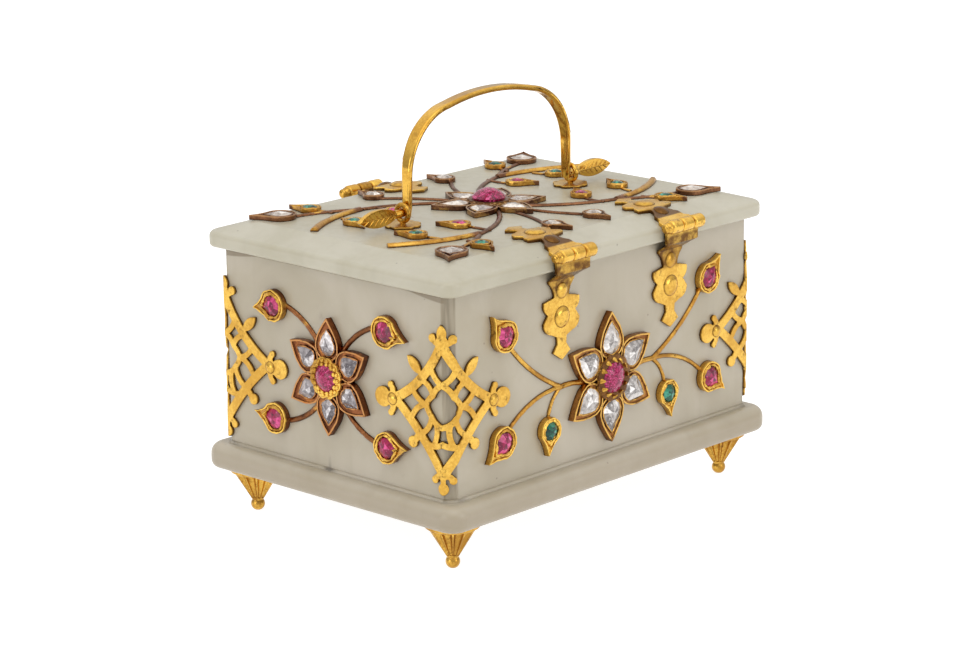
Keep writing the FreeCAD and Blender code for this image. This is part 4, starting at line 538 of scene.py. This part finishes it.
GOLD_PETAL = gold("gold_petal", (0.44, 0.205, 0.06), (0.24, 0.095, 0.03), rough=(0.26, 0.42), marks=0.35,
                  rubbed=(0.20, 0.085, 0.03), crown=(0.68, 0.40, 0.10), crowned=(1.85, 2.05),
                  grime_and_shade=BROWN, grime_and_shade_lift=(0.0, 0.9))
COLLAR_BROWN = gold("collar_brown", (0.24, 0.11, 0.033), (0.10, 0.042, 0.015), rough=(0.3, 0.45), marks=0.4)
RUBY = stone("ruby_glass", dark=(0.09, 0.001, 0.018), light=(0.32, 0.004, 0.06), painted_glint=(0.70, 0.09, 0.28))
EMERALD = stone("emerald_glass", dark=(0.001, 0.02, 0.016), light=(0.005, 0.10, 0.055),
                painted_glint=(0.06, 0.34, 0.23))
GREY_DIAMOND = stone("grey_diamond", dark=(0.08, 0.068, 0.075), light=(0.33, 0.30, 0.305),
                     painted_glint=(0.78, 0.75, 0.76), metal=0.2)
CLEAR_DIAMOND = stone("clear_diamond", dark=(0.15, 0.135, 0.13), light=(0.54, 0.505, 0.48),
                      painted_glint=(0.92, 0.90, 0.88), metal=0.2)
CREAM_DIAMOND = stone("cream_diamond", dark=(0.20, 0.16, 0.135), light=(0.60, 0.52, 0.45),
                      painted_glint=(0.92, 0.87, 0.80), metal=0.1)


# Places on a face

def low_share(face):
    """The lid's settings are lower than those of the walls."""
    return LID_LOW_SHARE if face == "lid" else 1


def lift_of(face, point):
    """Millimetres that a point stands off the face that carries it."""
    if face == "lid":
        return (point.z - LID_TOP) / MM
    if face in ENDS:
        return (abs(point.x) - END_FACE) / MM
    return (abs(point.y) - SIDE_FACE) / MM


def middle_of(node):
    """The middle of a CAD piece's box."""
    low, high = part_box(node)
    return (low + high) / 2


def face_axes(face):
    """The middle of a face's flower on the stone, and the directions across, up and out."""
    out = OUTWARD[face]
    up = Vector((0, 1, 0)) if face == "lid" else Vector((0, 0, 1))
    middle = middle_of("flower_" + face)
    middle -= out * lift_of(face, middle) * MM
    return middle, up.cross(out), up, out


# Worked copies of the CAD pieces

def twin(name, node, turn=None):
    """A copy of a CAD piece, its loose triangles joined, into whole faces where a turn is given."""
    piece = bpy.data.objects.new(name, nodes[node].data.copy())
    bpy.context.scene.collection.objects.link(piece)
    pick(piece)
    bpy.ops.object.mode_set(mode="EDIT")
    bpy.ops.mesh.select_all(action="SELECT")
    bpy.ops.mesh.customdata_custom_splitnormals_clear()
    bpy.ops.mesh.remove_doubles(threshold=MERGE_GAP)
    if turn:
        bpy.ops.mesh.dissolve_limited(angle_limit=turn)
    bpy.ops.object.mode_set(mode="OBJECT")
    return piece


def stand_for(piece, node, finish):
    """The piece goes with a CAD piece's body, with a finish."""
    piece.data.materials.clear()
    piece.data.materials.append(finish)
    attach(piece, body_of(nodes[node])[0])


def roll_over(wide):
    """The selected edges rolled round."""
    bpy.ops.mesh.bevel(offset=wide, segments=ROLL_STEPS, affect="EDGES", clamp_overlap=False,
                       loop_slide=False)
    bpy.ops.object.mode_set(mode="OBJECT")


def round_knuckles(piece, pin):
    """The rims of a hinge's knuckles rolled over, so that each knuckle bulges."""
    axis = middle_of(pin).yz
    places = piece.data.vertices

    def is_rim(edge):
        ends = [places[i].co for i in edge.vertices]
        off = [abs((end.yz - axis).length - BARREL_RADIUS) for end in ends]
        return abs(ends[0].x - ends[1].x) < SAME_PLANE and max(off) < BARREL_SLACK

    choose(piece, "EDGE", is_rim)
    roll_over(KNUCKLE_ROLL)


def round_arch(piece):
    """The long edges of the bail rolled over above its feet, so that the bar looks round."""
    choose(piece, "EDGE", lambda edge: False)
    bpy.ops.mesh.edges_select_sharp(sharpness=EDGE_TURN)
    bpy.ops.object.mode_set(mode="OBJECT")
    places = piece.data.vertices
    sharp = {edge.index for edge in piece.data.edges if edge.select}

    def is_arch(edge):
        return edge.index in sharp and any(places[i].co.z > ARCH_FOOT for i in edge.vertices)

    choose(piece, "EDGE", is_arch)
    roll_over(ARCH_ROLL)


def flatten_bosses(piece):
    """The tops of the bosses hammered nearly flat."""
    for v in piece.data.vertices:
        lifts = [(abs(v.co.x) - END_FACE, 0), (abs(v.co.y) - SIDE_FACE, 1), (v.co.z - LID_TOP, 2)]
        lift, axis = max(lifts)
        over = lift - BOSS_FLAT
        if over > 0:
            v.co[axis] -= math.copysign(over * BOSS_SQUASH, v.co[axis])


def settle(piece, node):
    """Corners that a bevel threw outside the CAD piece go back to its skin."""
    mesh = nodes[node].data
    skin = bvhtree.BVHTree.FromPolygons([v.co for v in mesh.vertices], [f.vertices for f in mesh.polygons])
    for v in piece.data.vertices:
        spot, normal, _, gap = skin.find_nearest(v.co)
        if gap > SKIN_SLACK and (v.co - spot).dot(normal) > 0:
            v.co = spot


def worn(node, finish, wide, turn=EDGE_TURN, first=None):
    """A copy of a CAD piece with its sharp edges rubbed round; other work on it may come first."""
    piece = twin(node + "_worn", node)
    if first:
        first(piece)
        pick(piece)
    bpy.ops.object.modifier_add(type="BEVEL")
    edge = piece.modifiers[-1]
    edge.width = wide
    edge.segments = EDGE_STEPS
    edge.limit_method = "ANGLE"
    edge.angle_limit = turn
    edge.use_clamp_overlap = False
    edge.loop_slide = False
    bpy.ops.object.modifier_apply(modifier=edge.name)
    settle(piece, node)
    bpy.ops.object.shade_smooth_by_angle(angle=WORN_SMOOTH)
    bpy.ops.object.modifier_add(type="WEIGHTED_NORMAL")
    bpy.ops.object.modifier_apply(modifier=piece.modifiers[-1].name)
    stand_for(piece, node, finish)
    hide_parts(node)
    return piece


# Settings

def crimp(piece, face, reach):
    """Outlines pushed in and out a little, as thin metal looks when it is pressed round a stone by hand."""
    out = face_axes(face)[3]
    for v in piece.data.vertices:
        lift = lift_of(face, v.co)
        flat = v.co - out * lift * MM
        push = noise.noise_vector(flat / BROAD_CRIMP)
        push += FINE_CRIMP_SHARE * noise.noise_vector(flat / FINE_CRIMP)
        push -= out * push.dot(out)
        v.co += push * reach * max(0.0, min(1.0, lift))


def bezels(kind, face, finish, wire, wobble, out):
    """Crimped wires that hold the stones of one face, laid round each stone's widest line."""
    node = f"{kind}_{face}"
    piece = twin(node + "_bezels", node, SAME_FLAT)
    lifts = [lift_of(face, v.co) / low_share(face) for v in piece.data.vertices]
    choose(piece, "EDGE", lambda edge: not all(GIRDLE[0] < lifts[i] < GIRDLE[1] for i in edge.vertices))
    bpy.ops.mesh.delete(type="EDGE")
    bpy.ops.mesh.select_all(action="SELECT")
    bpy.ops.mesh.delete_loose(use_verts=True, use_edges=False, use_faces=False)
    bpy.ops.object.mode_set(mode="OBJECT")
    bpy.ops.object.convert(target="CURVE")
    piece = bpy.context.object
    piece.data.bevel_depth = wire
    piece.data.bevel_resolution = 1
    for spline in piece.data.splines:
        places = [Vector(point.co[:3]) for point in spline.points]
        middle = sum(places, Vector()) / len(places)
        for point, place in zip(spline.points, places):
            away = (place - middle).normalized() * out
            point.co = (*(place + away), 1.0)
            point.radius = 1 + wobble * noise.noise(place / WIRE_LUMP)
    bpy.ops.object.convert(target="MESH")
    piece = bpy.context.object
    crimp(piece, face, SPRAY_CRIMP * low_share(face))
    bpy.ops.object.shade_smooth_by_angle(angle=WIRE_SMOOTH)
    stand_for(piece, node, finish)


def near(*kinds):
    """A search tree of the corners of some of the lid's stones."""
    spots = [v.co for kind in kinds for v in nodes[kind + "_lid"].data.vertices]
    tree = kdtree.KDTree(len(spots))
    for index, spot in enumerate(spots):
        tree.insert(spot, index)
    tree.balance()
    return tree


def gild_settings(piece):
    """The lid's coloured stones sit in gold, its diamonds in brown."""
    coloured = near("emeralds", "rubies")
    white = near("diamonds")
    for flat in piece.data.polygons:
        gap = coloured.find(flat.center)[2]
        beside = gap < GILT_REACH and gap < white.find(flat.center)[2]
        if beside and lift_of("lid", flat.center) > GILT_SETTING:
            flat.material_index = 1


def gild_twigs(piece):
    """The lid's four thick twigs keep bright gold where the other stems are brown."""
    run = TWIG_TIP - TWIG_FORK
    for flat in piece.data.polygons:
        spot = Vector((abs(flat.center.x), abs(flat.center.y))) - TWIG_FORK
        share = spot.dot(run) / run.length_squared
        away = (spot - run * max(0.0, min(1.0, share))).length
        if share > TWIG_START and away < TWIG_REACH and lift_of("lid", flat.center) < TWIG_TOP:
            flat.material_index = 1


def tint_collar(flower, face):
    """The collar round a flower's middle stone: gold under an end flower's grains, brown on the others."""
    flower.data.materials.append(BORDER_GOLD if face in ENDS else COLLAR_BROWN)
    for flat in flower.data.polygons:
        if lift_of(face, flat.center) / low_share(face) > COLLAR_FOOT:
            flat.material_index = 1


# Stones

def split_dome(piece, face):
    """The smooth middle stone of a flower, taken out of the cut stones; the lid's is drawn up higher."""
    middle = middle_of("flower_" + face)
    choose(piece, "FACE", lambda flat: (flat.center - middle).length < DOME_REACH)
    bpy.ops.mesh.separate(type="SELECTED")
    bpy.ops.object.mode_set(mode="OBJECT")
    dome = [thing for thing in bpy.context.selected_objects if thing != piece][0]
    pick(dome)
    if face == "lid":
        base = LID_TOP + GIRDLE[0] * LID_LOW_SHARE * MM
        for v in dome.data.vertices:
            if v.co.z > base:
                wide = middle.xy + (v.co.xy - middle.xy) * LID_DOME_WIDEN
                v.co = (*wide, base + (v.co.z - base) * LID_DOME_RAISE)
    bpy.ops.object.shade_smooth_by_angle(angle=WORN_SMOOTH)
    return dome


def cut_stones(kind, face, finish):
    """The stones of one face, cut: each outline in flats, each table drawn up to a low point."""
    node = f"{kind}_{face}"
    piece = twin(node + "_cut", node, SAME_FLAT)
    dome = split_dome(piece, face) if kind == "rubies" else None
    pick(piece)
    bpy.ops.object.mode_set(mode="EDIT")
    bpy.ops.mesh.select_all(action="SELECT")
    bpy.ops.mesh.dissolve_limited(angle_limit=CUT_TURN)
    choose(piece, "FACE", lambda flat: lift_of(face, flat.center) / low_share(face) > TABLE)
    bpy.ops.mesh.poke(offset=TABLE_RISE * low_share(face))
    bpy.ops.object.mode_set(mode="OBJECT")
    bpy.ops.object.shade_flat()
    if dome:
        pick(dome, piece)
        bpy.ops.object.join()
    shade = piece.data.attributes.new("cut", "FLOAT", "FACE")
    shade.data.foreach_set("value", [(TONE_STEP * i) % 1 for i in range(len(piece.data.polygons))])
    stand_for(piece, node, finish)
    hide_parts(node)


# Small gold work

def grain():
    """One flattened grain of gold."""
    let_go()
    bpy.ops.mesh.primitive_uv_sphere_add(segments=8, ring_count=6, radius=GRAIN_RADIUS, location=(0, 0, 0))
    bpy.ops.object.mode_set(mode="EDIT")
    bpy.ops.mesh.select_all(action="SELECT")
    bpy.ops.transform.resize(value=GRAIN_SHAPE)
    bpy.ops.object.mode_set(mode="OBJECT")
    return bpy.context.object


def claw():
    """One pointed claw that leans over the edge of a stone."""
    let_go()
    bpy.ops.mesh.primitive_cone_add(vertices=6, radius1=CLAW_FOOT, radius2=CLAW_TIP, depth=CLAW_LENGTH,
                                    location=(0, 0, CLAW_SET))
    bpy.ops.object.mode_set(mode="EDIT")
    bpy.ops.mesh.select_all(action="SELECT")
    bpy.ops.transform.resize(value=CLAW_SHAPE)
    bpy.ops.mesh.subdivide(number_cuts=1, smoothness=CLAW_BULGE)
    bpy.ops.object.mode_set(mode="OBJECT")
    return bpy.context.object


def ring_of(name, bit, face, count, gap, lift, lean=0.0):
    """Copies of a small bit set in a ring round a flower's middle stone, joined into one piece."""
    middle, across, up, out = face_axes(face)
    low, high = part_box("flower_" + face)
    radius = (high - low).dot(up) / 2 * COLLAR_SHARE * RUBY_SHARE + gap
    level = max(lift_of(face, low), lift_of(face, high)) + lift
    made = []
    for index in range(count):
        angle = 2 * math.pi * index / count
        ray = across * math.cos(angle) + up * math.sin(angle)
        inward = (out * math.cos(lean) - ray * math.sin(lean)).normalized()
        side = inward.cross(ray).normalized()
        turn = Matrix((side.cross(inward), side, inward)).transposed().to_4x4()
        wander = 1 + WANDER * noise.noise(Vector((index * WANDER_STEP, radius / MM, level)))
        turn.translation = middle + ray * radius * wander + out * level * MM
        copy = bpy.data.objects.new(name, bit.data.copy())
        bpy.context.scene.collection.objects.link(copy)
        copy.data.transform(turn)
        made.append(copy)
    pick(*made)
    bpy.ops.object.join()
    piece = bpy.context.object
    piece.name = name
    bpy.ops.object.shade_smooth_by_angle(angle=BIT_SMOOTH)
    return piece


def grain_collar(face, bit):
    """Two rings of grains round the middle ruby of an end's flower."""
    name = "collar_grains_" + face
    piece = ring_of(name, bit, face, **OUTER_GRAINS)
    second = ring_of(name, bit, face, **INNER_GRAINS)
    pick(second, piece)
    bpy.ops.object.join()
    stand_for(piece, "flower_" + face, BORDER_GOLD)


def claw_collar(face, bit):
    """A ring of claws round the middle ruby of a long wall's flower."""
    piece = ring_of("collar_claws_" + face, bit, face, **CLAWS)
    stand_for(piece, "flower_" + face, BORDER_GOLD)


def pin_knobs(pin):
    """The riveted ends of a hinge pin, hammered round."""
    low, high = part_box(pin)
    middle = middle_of(pin)
    for side, end in (("left", low.x), ("right", high.x)):
        let_go()
        bpy.ops.mesh.primitive_uv_sphere_add(segments=16, ring_count=10, radius=KNOB_RADIUS,
                                             location=(0, 0, 0))
        knob = bpy.context.object
        knob.name = f"{pin}_knob_{side}"
        place = Matrix.Translation((end, middle.y, middle.z))
        knob.data.transform(place @ Matrix.Diagonal((KNOB_FLAT, 1.0, 1.0, 1.0)))
        bpy.ops.object.shade_smooth()
        stand_for(knob, pin, ROUND_GOLD)


def wires(name, thick, roundness, strokes, closed=False):
    """Wires along strokes, each a list of places with a share of the thickness, made one mesh."""
    lines = bpy.data.curves.new(name, "CURVE")
    lines.dimensions = "3D"
    lines.bevel_depth = thick
    lines.bevel_resolution = roundness
    for stroke in strokes:
        line = lines.splines.new("POLY")
        line.use_cyclic_u = closed
        line.points.add(len(stroke) - 1)
        for point, (place, share) in zip(line.points, stroke):
            point.co = (*place, 1.0)
            point.radius = share
    piece = bpy.data.objects.new(name, lines)
    bpy.context.scene.collection.objects.link(piece)
    pick(piece)
    bpy.ops.object.convert(target="MESH")
    return bpy.context.object


def finial_veins(side, sense):
    """A rib and slanting veins raised on both faces of a handle leaf."""
    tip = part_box("handle_bail")[1].x
    root = tip - LEAF_LENGTH
    lines = [((root + RIB_ENDS[0], 0), (tip - RIB_ENDS[1], 0))]
    for step in range(VEIN_PAIRS):
        foot = root + VEIN_FIRST + VEIN_STEP * step
        span = VEIN_SPAN * math.sin(math.pi * (VEIN_SWELL + VEIN_SWELL_STEP * step))
        lines += [((foot, 0), (foot + VEIN_RUN, span)), ((foot, 0), (foot + VEIN_RUN, -span))]
    strokes = []
    for face in (-LEAF_FACE, LEAF_FACE):
        for (x0, z0), (x1, z1) in lines:
            strokes.append([
                ((sense * (x0 + (x1 - x0) * share), face, HANDLE_PIVOT + z0 + (z1 - z0) * share), width)
                for share, width in VEIN_TAPER
            ])
    piece = wires("finial_veins_" + side, VEIN_THICK, 1, strokes)
    bpy.ops.object.shade_smooth_by_angle(angle=WIRE_SMOOTH)
    stand_for(piece, "handle_bail", ROUND_GOLD)


def bedding():
    """A soft bead of pale bedding where the walls stand on the plinth."""
    x, y, flat = END_FACE, SIDE_FACE, CORNER_FLAT
    ring = [(x, y - flat), (x - flat, y), (flat - x, y), (-x, y - flat),
            (-x, flat - y), (flat - x, -y), (x - flat, -y), (x, flat - y)]
    stroke = [((along, across, WALL_FOOT), 1.0) for along, across in ring]
    piece = wires("wall_bedding", BEDDING_THICK, 0, [stroke], closed=True)
    stand_for(piece, "wall_back", JADE)


# Dressing the casket

def dress_mounts():
    """The gold mounts, hinges, hasp and handle."""
    for corner in CORNERS:
        worn("corner_mount_" + corner, PLATE_GOLD, PLATE_EDGE, turn=MOUNT_TURN)
        worn("foot_" + corner, FOOT_GOLD, FOOT_EDGE)
    for side, sense in (("left", -1), ("right", 1)):
        pin = "hinge_pin_" + side
        for leaf in ("hinge_wall_leaf_", "hinge_lid_leaf_"):
            worn(leaf + side, HINGE_GOLD, PLATE_EDGE, first=lambda piece: round_knuckles(piece, pin))
        pin_knobs(pin)
        worn("handle_rosette_" + side, PLATE_GOLD, ROUND_EDGE)
        finial_veins(side, sense)
    for rivets in ("corner_rivets", "hinge_wall_rivets", "hinge_lid_rivets", "hasp_rivets"):
        worn(rivets, BOSS_GOLD, ROUND_EDGE, first=flatten_bosses)
    for leaf, finish in (("hasp_lid_leaf", PLATE_GOLD), ("hasp_tongue", ROUND_GOLD)):
        worn(leaf, finish, PLATE_EDGE, first=lambda piece: round_knuckles(piece, "hasp_pin"))
    pin_knobs("hasp_pin")
    worn("handle_bail", HANDLE_GOLD, ROUND_EDGE, first=round_arch)


def dress_face(face, petal, spray, diamond, border):
    """A face's flower, sprays, stones and the wires round them."""
    flower = worn("flower_" + face, petal, SETTING_EDGE)
    crimp(flower, face, FLOWER_CRIMP)
    tint_collar(flower, face)
    sprays = worn("sprays_" + face, spray, SETTING_EDGE)
    crimp(sprays, face, SPRAY_CRIMP * low_share(face))
    if face == "lid":
        sprays.data.materials.append(GOLD_SPRAY)
        gild_settings(sprays)
        gild_twigs(sprays)
    cut_stones("diamonds", face, diamond)
    cut_stones("rubies", face, RUBY)
    bezels("diamonds", face, petal, **PETAL_WIRE)
    bezels("rubies", face, BORDER_GOLD, **border)
    if "emeralds_" + face in nodes:
        cut_stones("emeralds", face, EMERALD)
        bezels("emeralds", face, BORDER_GOLD, **border)


for name, thing in nodes.items():
    thing.data.materials.clear()
    thing.data.materials.append(JADE if name.startswith(("wall_", "lid_slab", "base_")) else ROUND_GOLD)

dress_mounts()
bedding()
seed = grain()
point = claw()
for face in FACES:
    if face == "lid":
        dress_face(face, LID_PETAL, LID_SPRAY, CREAM_DIAMOND, LID_BORDER)
    elif face in ENDS:
        dress_face(face, COPPER_PETAL, BROWN_SPRAY, GREY_DIAMOND, WALL_BORDER)
        grain_collar(face, seed)
    else:
        dress_face(face, GOLD_PETAL, GOLD_SPRAY, CLEAR_DIAMOND, WALL_BORDER)
        claw_collar(face, point)
pick(seed, point)
bpy.ops.object.delete()


# Floor, light and camera

def floor():
    """A wide pale floor with a faint cloudiness, lit from below like a light table."""
    let_go()
    bpy.ops.mesh.primitive_plane_add(size=30.0, location=(0, 0, 0))
    plane = bpy.context.object
    plane.name = "floor"
    made, tree, shader = finish_of("pale_floor", Roughness=0.9, Specular_IOR_Level=0.1,
                                   Emission_Strength=0.88, Emission_Color=WHITE)
    where = put(tree, "ShaderNodeTexCoord").outputs["Object"]
    colour = blend(tree, cloud(tree, where, scale=3.0, detail=2.0), FLOOR_GREY, FLOOR_PALE)
    tree.links.new(colour, shader.inputs["Base Color"])
    plane.data.materials.append(made)


def lamp(name, place, target, wide, power):
    """A large soft box that faces a point."""
    light = bpy.data.lights.new(name, "AREA")
    light.shape = "RECTANGLE"
    light.size, light.size_y = wide
    light.energy = power
    thing = bpy.data.objects.new(name, light)
    bpy.context.scene.collection.objects.link(thing)
    thing.location = place
    thing.rotation_euler = (Vector(place) - Vector(target)).to_track_quat("Z", "Y").to_euler()


def camera():
    """The photograph's camera: a long lens looking down a little at the hinge corner."""
    turn = math.radians(133.16)
    rise = math.radians(14.87)
    roll = math.radians(-0.63)
    target = Vector((-0.81, -0.81, 46.31)) * MM
    distance = 883.8 * MM
    back = Vector((math.sin(turn) * math.cos(rise), -math.cos(turn) * math.cos(rise), math.sin(rise)))
    level = Vector((math.cos(turn), math.sin(turn), 0))
    above = back.cross(level)
    right = level * math.cos(roll) + above * math.sin(roll)
    up = above * math.cos(roll) - level * math.sin(roll)
    view = bpy.data.cameras.new("camera")
    view.lens = 118.9
    view.sensor_width = 36.0
    view.clip_start = 0.05
    view.clip_end = 60.0
    thing = bpy.data.objects.new("camera", view)
    bpy.context.scene.collection.objects.link(thing)
    place = Matrix((right, up, back)).transposed().to_4x4()
    place.translation = target + back * distance
    thing.matrix_world = place
    bpy.context.scene.camera = thing


def room():
    """A light tent: brightest overhead, dimmer towards the horizon."""
    world = bpy.data.worlds.new("tent")
    world.use_nodes = True
    tree = world.node_tree
    where = put(tree, "ShaderNodeTexCoord").outputs["Generated"]
    up = put(tree, "ShaderNodeSeparateXYZ", Vector=where).outputs["Z"]
    sky = tree.nodes["Background"]
    sky.inputs["Color"].default_value = WHITE
    tree.links.new(band(tree, up, 0.0, 0.75, to_low=0.52, to_high=1.22), sky.inputs["Strength"])
    bpy.context.scene.world = world
    bpy.context.scene.view_settings.view_transform = "Standard"


floor()
room()
lamp("top_box", place=(0.25, 0.3, 0.9), target=(0, 0, 0.05), wide=(0.9, 0.9), power=1.8)
lamp("left_box", place=(1.1, -0.1, 0.22), target=(0, 0, 0.03), wide=(0.6, 0.4), power=1.4)
lamp("right_box", place=(-0.2, 1.1, 0.3), target=(0, 0, 0.04), wide=(0.6, 0.4), power=1.7)
camera()
